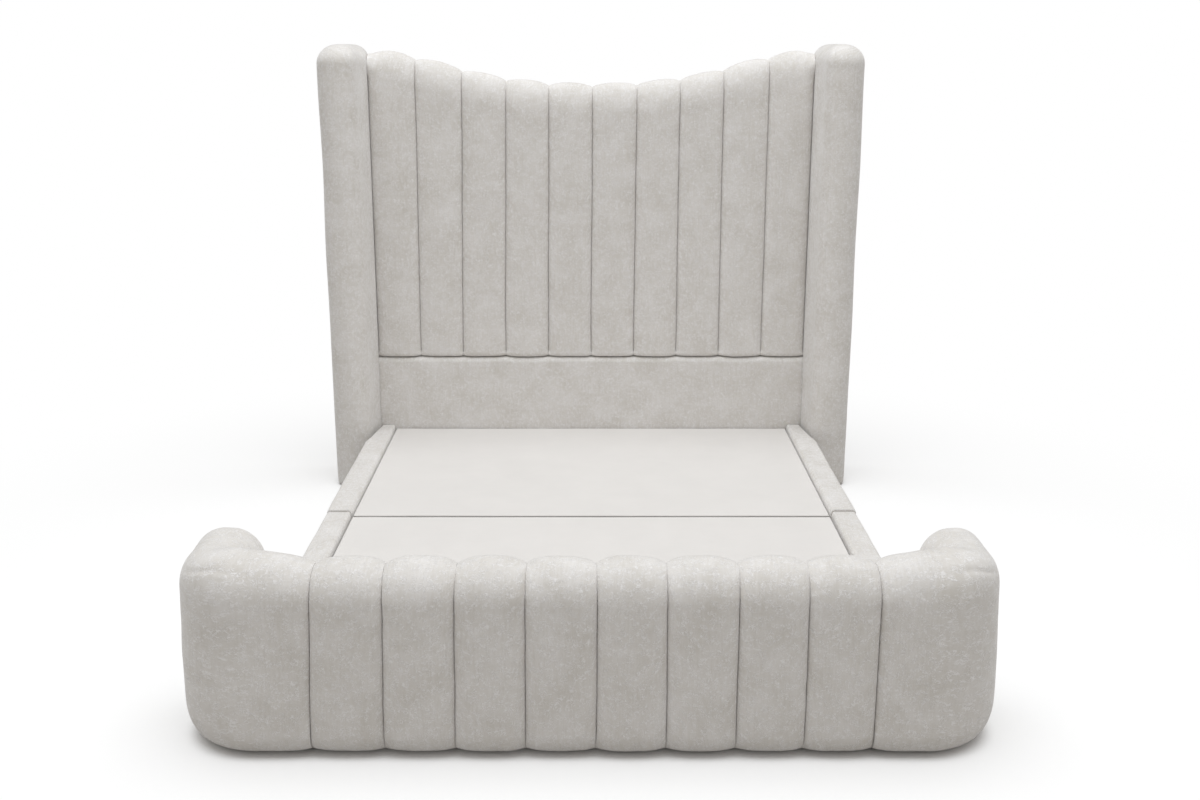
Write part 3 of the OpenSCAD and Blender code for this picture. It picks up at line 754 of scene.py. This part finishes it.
def soft_relief(u, down, seed, sizes):
    """Height of the cloth's slack waves, and of the small folds that run out of its seams."""
    loose = sizes.slack * (1 - u**4) * (
        ripple(u * 0.9 + 5, down / 0.17, seed) + 0.45 * ripple(u * 2 + 9, down / 0.07, seed + 1))
    edge = (1 - np.abs(u)) * PITCH / 2
    folds = sizes.pucker * np.exp(-edge / (20 * MM)) * (
        ripple(down / 0.017, u * 1.5, seed + 2) + 0.5 * ripple(down / 0.05, u * 2, seed + 3))
    return loose + folds


class BED_OT_head_channels(Operator):
    """Makes the headboard's ten upright channels"""

    bl_idname = "bed.head_channels"
    bl_label = "Headboard channels"

    def execute(self, context):
        for index in range(HEAD_CHANNELS):
            self.channel(context.scene.bed_sizes, index)
        return {"FINISHED"}

    def channel(self, sizes, index):
        """A pad carried up its front, over the roll and down its back, drawn in at both seams."""
        node = f"head_channel_{index + 1}"
        low, high = node_box(node)
        u = across_channel(53)[None, :]
        mid = (low[0] + high[0]) / 2
        x = mid + u * PITCH / 2
        swoop = swoop_height(sizes, x)
        # Between the middle and the wings the channels stand a little above the plain swoop
        swell, swell_at, swell_width = 9 * MM, 3.6 * PITCH, 0.9 * PITCH
        top = swoop + swell * bell(np.abs(x), swell_at, swell_width)
        back, low_r, roll, back_r = high[1], sizes.low_round, sizes.roll, 30 * MM
        front, base, tall = HEAD_Y, CHANNEL_Z, sizes.roll_height + 0 * u
        # The two outermost fall away beside their wings, where their roll is smaller
        corner_drop, corner_flat, corner_smooth = 36 * MM, 0.6, 0.85
        outermost = index in (0, HEAD_CHANNELS - 1)
        if outermost:
            outer_side = (1 - u if index == 0 else 1 + u) / 2
            top = top - corner_drop * outer_side**3
            tall = tall * (1 - corner_flat * outer_side**4)
        board = HEAD_BOARD_Y - FIT
        flap_low, flap_end = swoop - 77.8 * MM, swoop - 78 * MM
        y, z, angle, weight = joined(
            line(board, base, front + low_r, base, 270, 4, (0, 0.2)),
            arc(front + low_r, base + low_r, low_r, 270, 180, 14, (0.2, 1)),
            line(front, base + low_r, front, top - tall, 180, 112, (1, 1)),
            arc(front + roll, top - tall, roll, 180, 90, 28, (1, 0.85), height=tall),
            line(front + roll, top, back - back_r, top, 90, 8, (0.85, 0.85)),
            arc(back - back_r, top - back_r, back_r, 90, 0, 10, (0.85, 0.05)),
            line(back, top - back_r, back, flap_low, 0, 7, (0.05, 0)),
            line(back, flap_low, back, flap_end, 0, 1, (0, 0)))
        down = down_run(y, z)
        # Under the channels' lower edge the seams stay narrow, as on their fronts
        box = np.where(z < base + low_r, 1, np.abs(np.cos(angle)))
        seam = drawn_in(u, sizes.seam, box) * weight
        # Half-way up the roll they are shallow, so that the board behind stays covered
        on_roll, shallow = (z > top - tall) & (y < front + roll), 0.42
        seam = seam * (1 - shallow * on_roll * np.sin(2 * angle) ** 2)
        if outermost:
            near_top = ease((z - top + 0.12) / 0.08)
            seam = seam * (1 - corner_smooth * outer_side**4 * near_top)
        hem_reach = 45 * MM
        near_hem = np.exp(-np.maximum(z - base, 0) / hem_reach)
        gather = 1.3 * MM * near_hem * ripple(x / 0.014, down / 0.08, 40 + index)
        rise = (soft_relief(u, down, 100 + 7 * index, sizes) + gather) * ease(weight) - seam
        z = z + (hem(x) - HEM_DROP) * near_hem
        left, right = (
            seam_line(n, HEAD_CHANNELS, down, 11, 1.1 * MM) + HEAD_LEAN[n] * ease(down / 1.05)
            for n in (index, index + 1))
        x = between_seams(mid, u, left, right)
        # The flap ends along the backing cloth's edge, also where the seams lean
        leant = swoop_height(sizes, x)
        z = z + (leant - swoop) * ease((y - front - roll) / (back - front - roll))
        outer = raised(x, y, z, rise, angle)
        edge = inner_edge(outer, (low[0], high[0]), (board, back - 0.5 * MM),
                          (base + 2 * MM, top[:, [0, -1]] - 48 * MM))
        mesh = shell(f"head_channel_pad_{index + 1}", outer, edge, shift=3.7 * index)
        put_pad(mesh, node)


class BED_OT_lower_band(Operator):
    """Makes the plain padded band under the channels"""

    bl_idname = "bed.lower_band"
    bl_label = "Lower band"

    def execute(self, context):
        low, high = BAND_LOW, BAND_HIGH
        x = low[0] + (high[0] - low[0]) * np.linspace(0, 1, 360)[None, :]
        top_r, gap = 20 * MM, 3.2 * MM
        top = CHANNEL_Z - HEM_DROP - gap + hem(x)
        y, z, angle, weight = joined(
            line(low[1], low[2], low[1], top - top_r, 180, 56, (1, 1)),
            arc(low[1] + top_r, top - top_r, top_r, 180, 90, 16, (1, 0.2)),
            line(low[1] + top_r, top, high[1] - FIT, top + 3 * MM, 90, 6, (0.2, 0)))
        down = down_run(y, z)
        loose = waves(x, down, (1.5 * MM, 0.2, 0.14), (0.5 * MM, 0.06, 0.06), 63)
        tucks = 0.8 * MM * np.exp(-(high[2] - z) / (22 * MM)) * ripple(x / 0.022, down / 0.2, 65)
        ends = np.minimum(x - low[0], high[0] - x)
        closing, most = 4 * MM * np.exp(-ends / (4 * MM)), 2 * MM
        rise = np.minimum((loose + tucks) * weight - closing * weight, most)
        outer = raised(x + 0 * y, y, z, rise, angle)
        edge = outer[:, [0, -1]].copy()
        edge[..., 1] = high[1]
        put_pad(shell("lower_band_pad", outer, edge, shift=51.3), "lower_band")
        return {"FINISHED"}


class BED_OT_wings(Operator):
    """Makes the two wings at the headboard's sides"""

    bl_idname = "bed.wings"
    bl_label = "Wings"

    def execute(self, context):
        for side, name in SIDES:
            self.wing(context.scene.bed_sizes, side, name)
        return {"FINISHED"}

    # Points along the plan's back edge, at each back corner and on each face, and from the
    # nose's start to the seam on the front
    EDGE_COUNT, TURN_COUNT, FACE_COUNT, SEAM_COUNT = 10, 8, 43, 14

    def plan(self, sizes):
        """Plan of a wing, from the backing cloth's edge by the inner face, nose and outer face."""
        low, high = WING_LOW, WING_HIGH
        corner = 14 * MM
        inner, outer = low[0] + sizes.splay, high[0]
        mid, reach = (inner + outer) / 2, (outer - inner) / 2
        back, nose_y = high[1], low[1] + sizes.nose
        turn_y = back - corner
        turn = np.radians(np.linspace(90, 180, self.TURN_COUNT, endpoint=False))
        turned = turn[::-1] - np.pi / 2
        nose = np.linspace(np.pi, 2 * np.pi, 60)
        face = np.linspace(0, 1, self.FACE_COUNT + 1, endpoint=False)[1:]
        inner_back, outer_back = low[0] + corner, outer - corner
        # The inner face lies against the channels, and opens from their fronts to the nose
        face_y = turn_y - (turn_y - nose_y) * face
        opening = np.clip((HEAD_Y - face_y) / (HEAD_Y - nose_y), 0, 1)
        px = np.concatenate([
            np.linspace(BACKING_EDGE, inner_back, self.EDGE_COUNT, endpoint=False),
            inner_back + corner * np.cos(turn), low[0] + (inner - low[0]) * opening,
            mid + reach * np.cos(nose), np.full(self.FACE_COUNT, outer),
            outer_back + corner * np.cos(turned), np.linspace(outer_back, BACKING_EDGE + FIT, 8)])
        py = np.concatenate([
            np.full(self.EDGE_COUNT, back), turn_y + corner * np.sin(turn), face_y,
            nose_y + sizes.nose * np.sin(nose), nose_y + (turn_y - nose_y) * face,
            turn_y + corner * np.sin(turned), np.full(8, back)])
        return px, py

    def wing(self, sizes, side, name):
        """The plan carried up, closed over the top by narrowing it as a power of a cosine."""
        low, high = WING_LOW, WING_HIGH
        px, py = self.plan(sizes)
        rise = np.radians(np.linspace(0, 89.2, 44))
        crown, foot_r = sizes.wing_round, 8 * MM
        heights = np.concatenate([
            low[2] + foot_r * (1 - np.cos(np.linspace(0, np.pi / 2, 6, endpoint=False))),
            np.linspace(low[2] + foot_r, high[2] - crown, 200, endpoint=False),
            high[2] - crown + crown * np.sin(rise)])
        # Narrower where it is tucked under at its foot, and again towards its top, where its
        # depth takes a share of the narrowing
        crown_power, depth_share = 0.78, 0.38
        tuck = 0.84 + 0.16 * np.sin(np.linspace(0.1, np.pi / 2, 12))
        narrow = np.concatenate([tuck, np.ones(194), np.cos(rise) ** crown_power])[:, None]
        mid = (low[0] + high[0]) / 2
        x = mid + (px - mid) * narrow
        y = high[1] - (high[1] - py) * (1 - (1 - narrow) * depth_share)
        z = heights[:, None] + 0 * x
        grid = np.stack([x, y, z], axis=2)
        around, down = run_length(grid, 1), run_length(grid, 0)
        walk = run_length(np.stack([px, py, 0 * px], axis=1)[None], 1)
        seed = 200 + 20 * side
        loose = waves(walk, z, (2.2 * MM, 0.13, 0.30), (0.9 * MM, 0.05, 0.11), seed)
        # A seam runs down the front, a hand's breadth inside the wing's inner edge
        back_count = self.EDGE_COUNT + self.TURN_COUNT
        seam_at = walk[0, back_count + self.FACE_COUNT + self.SEAM_COUNT]
        crease = 2.2 * MM * bell(walk, seam_at, 4 * MM) * ease((z - 0.2) / 0.2)
        drawn = 0.8 * MM * np.exp(-np.abs(walk - seam_at) / (18 * MM)) * ripple(
            z / 0.026, walk / 0.05, seed + 2)
        fade = np.minimum(ease((high[2] - z) / 0.02 + 0.05), ease((z - low[2]) / 0.03))
        # The back stays flat, and is sunk where the backing cloth lies over it
        inset, backing_depth = 1.6 * MM, 6.2 * MM
        flat = ease((high[1] - 30 * MM - y) / (60 * MM))
        flat = np.where(px < mid, ease((HEAD_Y - y) / (40 * MM)), flat)
        grid = push(grid, ((loose + drawn - crease) * fade - inset * fade) * flat)
        covered = (np.arange(len(px)) < back_count)[None, :] & (z < COVER_TOP)
        sunk = np.minimum(grid[..., 1], high[1] - backing_depth)
        grid[..., 1] = np.where(covered, sunk, grid[..., 1])
        if side < 0:
            grid[..., 0] *= -1
        mesh = shell(f"{name}_wing_cushion", grid[:, ::side], across=around[:, ::side],
                     down=down[:, ::side], shift=60 + 5 * side)
        put_pad(mesh, f"{name}_wing_pad")


class BED_OT_rails(Operator):
    """Makes the four padded side rails"""

    bl_idname = "bed.rails"
    bl_label = "Side rails"

    def execute(self, context):
        for side, name in SIDES:
            for end in ("head", "foot"):
                self.rail(context.scene.bed_sizes, side, f"{end}_{name}_rail")
        return {"FINISHED"}

    def rail(self, sizes, side, node):
        """A round-edged section carried along the rail, folded over its side board."""
        low, high = node_box(node)
        if side < 0:
            low[0], high[0] = -high[0], -low[0]
        inside, top, foot = low[0], high[2], low[2]
        inner_r, r, low_r = 16 * MM, sizes.rail_round, 8 * MM
        y = np.linspace(low[1], high[1], 150)[None, :]
        # Beside the wing the rail narrows, and beside the corner bolster it loses its outer padding
        wing_start = WING_LOW[1] - 12 * MM
        share = np.clip((y - wing_start) / (high[1] - wing_start), 0, 1)
        narrow = WING_LOW[0] + (sizes.splay - 1 * MM) * (1 - share)
        out = RAIL_OUTSIDE + (narrow - RAIL_OUTSIDE) * ease((y - wing_start + 50 * MM) / (60 * MM))
        bolster_end = BOLSTER_HIGH[1] + 0.5 * MM
        tucked = SIDE_HIGH[0] + 1 * MM
        out = out + (tucked - out) * ease((bolster_end - y) / (4 * MM))
        x, z, angle, weight = joined(
            line(inside, DECK_LOW[2], inside, top - inner_r, 180, 8, (0.2, 0.6)),
            arc(inside + inner_r, top - inner_r, inner_r, 180, 90, 14, (0.6, 1)),
            line(inside + inner_r, top, out - r, top, 90, 16, (1, 1)),
            arc(out - r, top - r, r, 90, 0, 10, (1, 1)),
            line(out, top - r, out, foot + low_r, 0, 34, (1, 1)),
            arc(out - low_r, foot + low_r, low_r, 0, -90, 6, (1, 1)))
        walk = down_run(x, z)
        seed = 300 + sum(map(ord, node)) % 50
        loose = waves(y, walk, (1.1 * MM, 0.16, 0.07), (0.4 * MM, 0.05, 0.04), seed)
        ends = np.minimum(y - low[1], high[1] - y)
        closing = 2 * MM * np.exp(-ends / (3 * MM)) + 1 * MM * np.exp(-ends / (22 * MM))
        closing = closing + 4 * MM * ease((y - WING_LOW[1]) / (high[1] - WING_LOW[1]))
        # The inner face leans a little over the gap round the deck
        inset, lean = 0.9 * MM, 2.2 * MM
        rise = (loose - closing) * weight - inset + lean * np.clip(-np.cos(angle), 0, 1)
        x, z = x + rise * np.cos(angle), z + rise * np.sin(angle)
        outer = np.stack([x, y + 0 * x, z], axis=2)
        edge = outer[:, [0, -1]].copy()
        edge[..., 0] = np.clip(edge[..., 0], SIDE_LOW[0] - FIT, SIDE_HIGH[0] + FIT)
        edge[..., 2] = np.minimum(edge[..., 2], SIDE_HIGH[2] + FIT)
        outer[..., 0] *= side
        edge[..., 0] *= side
        mesh = shell(f"{node}_pad", outer, edge, across=walk, down=run_length(outer, 1),
                     shift=70 + seed / 9)
        put_pad(mesh, node)


class BED_OT_decks(Operator):
    """Makes the two cloth-covered deck panels"""

    bl_idname = "bed.decks"
    bl_label = "Deck covers"

    def execute(self, context):
        for body, seed in (("head_deck", 81), ("foot_deck", 85)):
            self.cover(body, f"{body}_cover", seed)
        return {"FINISHED"}

    def cover(self, body, node, seed):
        """Cloth drawn over a thin pad: a round edge all round, and hardly any crown."""
        low, high = node_box(node)
        edge_r = 4 * MM
        # The cloth stops short of the other panel, which leaves a dark line between the two: real
        # shade in the gap, deepened by the painted shade of the dark film on the board beneath
        short = 4 * MM
        if body == "head_deck":
            low[1] += short
        else:
            high[1] -= short
        y = np.concatenate([
            low[1] + edge_r * (1 - np.cos(np.linspace(0, np.pi / 2, 8, endpoint=False))),
            np.linspace(low[1] + edge_r, high[1] - edge_r, 150),
            high[1] - edge_r * (1 - np.cos(np.linspace(np.pi / 2, 0, 9)[1:]))])[None, :]
        inset = np.clip(np.minimum(y - low[1], high[1] - y) / edge_r, 0, 1)
        end_drop = edge_r * (1 - np.sqrt(1 - (1 - inset) ** 2))
        top = high[2] - end_drop
        x, z, _, weight = joined(
            line(low[0], low[2], low[0], top - edge_r, 180, 4, (0, 0)),
            arc(low[0] + edge_r, top - edge_r, edge_r, 180, 90, 8, (0, 0.2)),
            line(low[0] + edge_r, top, high[0] - edge_r, top, 90, 220, (1, 1)),
            arc(high[0] - edge_r, top - edge_r, edge_r, 90, 0, 8, (0.2, 0)),
            line(high[0], top - edge_r, high[0], low[2], 0, 5, (0, 0)))
        loose = waves(x, y, (0.5 * MM, 0.25, 0.2), (0.25 * MM, 0.07, 0.09), seed)
        rise = weight * inset * (loose - 0.6 * MM)
        outer = np.stack([x, y + 0 * x, z + rise], axis=2)
        mesh = shell(f"{node}_cloth", outer, across=outer[..., 0], down=outer[..., 1])
        put_pad(mesh, node, material=deck_weave(), body=body)


class BED_OT_foot_channels(Operator):
    """Makes the footboard's eight channels"""

    bl_idname = "bed.foot_channels"
    bl_label = "Footboard channels"

    def execute(self, context):
        for index in range(FOOT_CHANNELS):
            self.channel(context.scene.bed_sizes, index)
        return {"FINISHED"}

    def channel(self, sizes, index):
        """A pad carried under the front, up it, over the round top and down the inner side."""
        node = f"foot_channel_{index + 1}"
        low, high = node_box(node)
        u = across_channel(57)[None, :]
        mid = (low[0] + high[0]) / 2
        r, low_r = FOOT_R, sizes.foot_low
        front, inside, base, top = low[1], high[1], low[2] + 0 * u, high[2] + 0 * u
        # The inner cloth flattens above the deck, and ends below it
        fade_z, flap_end = DECK_HIGH[2] + 60 * MM, DECK_LOW[2] - 15 * MM
        y, z, angle, weight = joined(
            line(FOOT_MID, base, front + low_r, base, 270, 6, (0, 0.1)),
            arc(front + low_r, base + low_r, low_r, 270, 180, 22, (0.1, 1)),
            line(front, base + low_r, front, top - r, 180, 56, (1, 1)),
            arc(FOOT_MID, top - r, r, 180, 0, 56, (1, 1)),
            line(inside, top - r, inside, fade_z, 0, 18, (1, 0.8)),
            line(inside, fade_z, inside, flap_end, 0, 10, (0.8, 0.15)))
        down = down_run(y, z)
        near_floor = np.exp(-np.maximum(z - low[2], 0) / (38 * MM))
        gather = 1.2 * MM * near_floor * ripple(u * 5.5, down / 0.09, 140 + index)
        # The seams are pulled a little less hard over the top than down the front
        over = np.abs(np.sin(angle)) * (z > FOOT_TOP - r)
        seam = drawn_in(u, sizes.seam * (1 - 0.2 * over), np.abs(np.cos(angle)) ** 1.5) * weight
        rise = (soft_relief(u, down, 400 + 9 * index, sizes) + gather) * ease(weight * 1.2) - seam
        left, right = (seam_line(n, FOOT_CHANNELS, down, 21, 1.5 * MM) + foot_lean(n, z - low[2])
                       for n in (index, index + 1))
        outer = raised(between_seams(mid, u, left, right), y, z, rise, angle)
        core = FOOT_FRAME - FIT, 2 * FOOT_MID - FOOT_FRAME + FIT
        edge = inner_edge(outer, (low[0], high[0]), core, (12 * MM, FOOT_TOP - 58 * MM))
        mesh = shell(f"foot_channel_pad_{index + 1}", outer, edge, shift=90 + 3.3 * index)
        put_pad(mesh, node)


class BED_OT_corner_bolsters(Operator):
    """Makes the two bolsters that wrap round the footboard's corners"""

    bl_idname = "bed.corner_bolsters"
    bl_label = "Corner bolsters"

    def execute(self, context):
        for side, name in SIDES:
            self.bolster(context.scene.bed_sizes, side, name)
        return {"FINISHED"}

    def spine(self, sizes):
        """Centre line as x, y and heading, and how far the section shrinks at the rounded end."""
        near_count, bend_count, run_count, close_count = 38, 60, 22, 30
        seam = BOLSTER_LOW[0]
        x_end = BOLSTER_HIGH[0] - RETURN_R
        r = sizes.corner
        stop = BOLSTER_HIGH[1] - sizes.end_round
        cx, cy = x_end - r, FOOT_MID + r
        bend = np.linspace(0, np.pi / 2, bend_count, endpoint=False)
        close = np.linspace(0, np.radians(88.5), close_count)
        near = seam + (cx - seam) * np.linspace(0, 1, near_count, endpoint=False) ** 1.5
        run = np.linspace(cy, stop, run_count, endpoint=False)
        straight = run_count + close_count
        x = np.concatenate([near, cx + r * np.sin(bend), np.full(straight, x_end)])
        y = np.concatenate([np.full(near_count, FOOT_MID), cy - r * np.cos(bend), run,
                            stop + sizes.end_round * np.sin(close)])
        heading = np.concatenate([np.zeros(near_count), bend, np.full(straight, np.pi / 2)])
        shrink = np.concatenate([np.zeros(near_count + bend_count + run_count),
                                 sizes.end_round * (1 - np.cos(close) ** 0.65)])
        return [v[:, None] for v in (x, y, heading, shrink)]

    def section(self, h, height, low_w, low_h):
        """Across, up and angle: up the inner side, over the top and down the outer side.

        The lower outer edge is a quarter ellipse, low_w wide and low_h high. All three
        sizes change along the spine, which runs down the rows of the result.
        """
        h, low_w, low_h = h.T, low_w.T, low_h.T
        inner_r, crown, even = 40 * MM, height - FOOT_R, (1, 1)
        across, up, angle, _ = joined(
            arc(inner_r - h, inner_r, inner_r, 270, 180, 8, even, height=inner_r),
            line(-h, inner_r, -h, crown, 180, 34, even),
            arc(0 * h, crown, h, 180, 0, 60, even, height=FOOT_R),
            line(h, crown, h, low_h, 0, 34, even),
            arc(h - low_w, low_h, low_w, 0, -90, 25, even, height=low_h),
            arc(h - low_w, low_h, low_w, -90, -90, 1, even, height=low_h))
        return across.T, up.T, angle.T

    def bolster(self, sizes, side, name):
        """The section swept along the spine, drawn in at its seam and rounded off at its end."""
        x0, y0, heading, shrink = self.spine(sizes)
        base = BOLSTER_LOW[2]
        height = FOOT_TOP - base
        turned = np.sin(heading)
        h = FOOT_R + (RETURN_R - FOOT_R) * turned
        low_w = sizes.foot_low + (sizes.corner_low - sizes.foot_low) * turned
        low_h = sizes.foot_low + (sizes.corner_rise - sizes.foot_low) * turned
        across, up, angle = self.section(h, height, low_w, low_h)
        # Its seam draws it in like the channels beside it; walk is the way along the spine
        walk = run_length(np.concatenate([x0, y0, 0 * x0], axis=1)[:, None], 0)
        u = np.clip(walk / (PITCH / 2) - 1, -1, 0)
        hold = 0.35 + 0.65 * ease((up - 0.02) / 0.12)
        facing_up, facing_out = np.clip(np.sin(angle), 0, 1), np.clip(np.cos(angle), 0, 1)
        on_top = up > height - FOOT_R
        depth = sizes.seam * (1 - 0.2 * (facing_up * on_top))
        seam = drawn_in(u, depth, np.abs(np.cos(angle)) ** 1.5) * hold
        # Each bell() below takes its place and width along the spine, in metres from the seam.
        # Round the corner the top is stuffed fuller, and the cloth bridges the inside of the bend
        fuller = sizes.corner_full * np.sin(2 * heading) ** 2 * facing_up ** np.where(
            across < 0, 2, 4)
        bridge = 26 * MM * bell(walk, 0.18, 0.075) * ease((up - 0.23) / 0.10) * ease(
            (angle - np.radians(70)) / np.radians(110)) * (across < 0.3 * h)
        # Ahead of the corner the top rises to a low crest
        crest = 8 * MM * bell(walk, 0.12, 0.07) * facing_up**2
        # Beside the rail the top lies a little lower, and the outer side leans in towards it;
        # the left one is the fuller of the two there
        drop = 7 * MM * ease(2 * turned - 1) * facing_up
        sag = ease((0.42 - up) / 0.3)
        belly = turned * facing_out**2 * MM * (8 + 8 * sag if side < 0 else 10 * sag - 5)
        shoulder = 7 * MM * turned * on_top * np.clip(np.sin(2 * angle), 0, 1) ** 1.5
        seed = 500 + 30 * side
        length = run_length(np.stack([across, up, 0 * up], axis=2), 1)
        slack = waves(walk, length, (1, 0.10, 0.16), (0.4, 0.04, 0.06), seed)
        loose = 2.0 * MM * slack * hold * (1 - np.abs(u) ** 6)
        # Folds fan out of the corner where the cloth turns
        fan = bell(walk, 0.23, 0.09) * bell(up, 0.40, 0.09)
        folds = 1.5 * MM * fan * ripple(walk / 0.03, length / 0.09, seed + 2)
        # One long crease where the top seam of the corner ends
        crease_up = 0.455 - 0.03 * ease((walk - 0.18) / 0.1)
        crease = 3.0 * MM * bell(up, crease_up, 5 * MM) * bell(walk, 0.21, 0.045) * (across > 0)
        rise = loose + folds + fuller + bridge + crest + belly + shoulder - drop - crease - seam
        # A small seam rings the rounded end
        rise = rise - 2.6 * MM * bell(walk, walk[-1] - 34 * MM, 3.2 * MM)
        across, up = across + rise * np.cos(angle), up + rise * np.sin(angle)
        half_high = height / 2
        across = across * (1 - shrink / RETURN_R)
        up = half_high + (up - half_high) * (1 - shrink / half_high)
        # Its first end follows the last seam of the footboard
        lean = side * foot_lean(-1 if side > 0 else 0, up) * ease(1 - walk / 0.16)
        x = x0 + across * np.sin(heading) + lean
        y = y0 - across * np.cos(heading)
        grid = np.stack([side * x, y, base + up], axis=2)
        mesh = shell(f"{name}_corner_cushion", grid, across=walk + 0 * across,
                     down=length + 0 * across, shift=130 + 4 * side)
        put_pad(mesh, f"{name}_corner_bolster")


class BED_OT_frame_finishes(Operator):
    """Gives the timber, panels, glides, bolts and backing cloth their finishes"""

    bl_idname = "bed.frame_finishes"
    bl_label = "Frame finishes"

    def execute(self, context):
        colours = context.scene.bed_colours
        ring = 7 * MM
        across_pine = planed_wood("PlanedPineAcross", colours.pine, 0, ring)
        long_pine = planed_wood("PlanedPineAlong", colours.pine, 1, ring)
        upright_pine = planed_wood("PlanedPineUpright", colours.pine, 2, ring)
        finishes = {
            across_pine: ("head_end_board", "foot_end_board", "head_link_board", "foot_link_board",
                          "head_bottom_rail", "head_top_rail", "foot_bottom_plate",
                          "foot_top_plate", "left_corner_frame", "right_corner_frame"),
            long_pine: ("head_left_board", "head_right_board", "foot_left_board",
                        "foot_right_board", "centre_joists", "left_deck_ledges",
                        "right_deck_ledges"),
            upright_pine: ("head_left_stile", "head_right_stile", "head_centre_stile", "foot_posts",
                           "left_wing_core", "right_wing_core"),
            # Dark-filmed panels, whose colour also stands in as painted shade in the gaps
            dark_film_finish_with_gap_shade(): ("head_deck_board", "foot_deck_board", "head_front_board",
                               "foot_front_board"),
            moulded_nylon(): ("base_glides",),
            zinc_plate(): ("frame_bolts",),
            spunbond(): ("head_back_cover",),
        }
        for material, nodes in finishes.items():
            for name in nodes:
                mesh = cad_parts[name].data
                mesh.materials.clear()
                mesh.materials.append(material)
        return {"FINISHED"}


class BED_PT_panel(Panel):
    """Lists the bed's operators and settings"""

    bl_label = "Bed"
    bl_idname = "BED_PT_panel"
    bl_space_type = "VIEW_3D"
    bl_region_type = "UI"
    bl_category = "Bed"

    def draw(self, context):
        for operator in OPERATORS:
            self.layout.operator(operator.bl_idname)
        for group in (context.scene.bed_sizes, context.scene.bed_colours, context.scene.bed_stage):
            for name in group.__annotations__:
                self.layout.prop(group, name)


OPERATORS = (
    BED_OT_stage, BED_OT_frame_finishes, BED_OT_head_channels, BED_OT_lower_band, BED_OT_wings,
    BED_OT_rails, BED_OT_decks, BED_OT_foot_channels, BED_OT_corner_bolsters)
CLASSES = (BedSizes, BedColours, BedStage, *OPERATORS, BED_PT_panel)


def register():
    for item in CLASSES:
        bpy.utils.register_class(item)
    bpy.types.Scene.bed_sizes = PointerProperty(type=BedSizes)
    bpy.types.Scene.bed_colours = PointerProperty(type=BedColours)
    bpy.types.Scene.bed_stage = PointerProperty(type=BedStage)


def unregister():
    del bpy.types.Scene.bed_stage, bpy.types.Scene.bed_colours, bpy.types.Scene.bed_sizes
    for item in reversed(CLASSES):
        bpy.utils.unregister_class(item)


def main():
    register()
    for step in ("stage", "frame_finishes", "head_channels", "lower_band", "wings", "rails",
                 "decks", "foot_channels", "corner_bolsters"):
        getattr(bpy.ops.bed, step)()


if __name__ == "__main__":
    main()
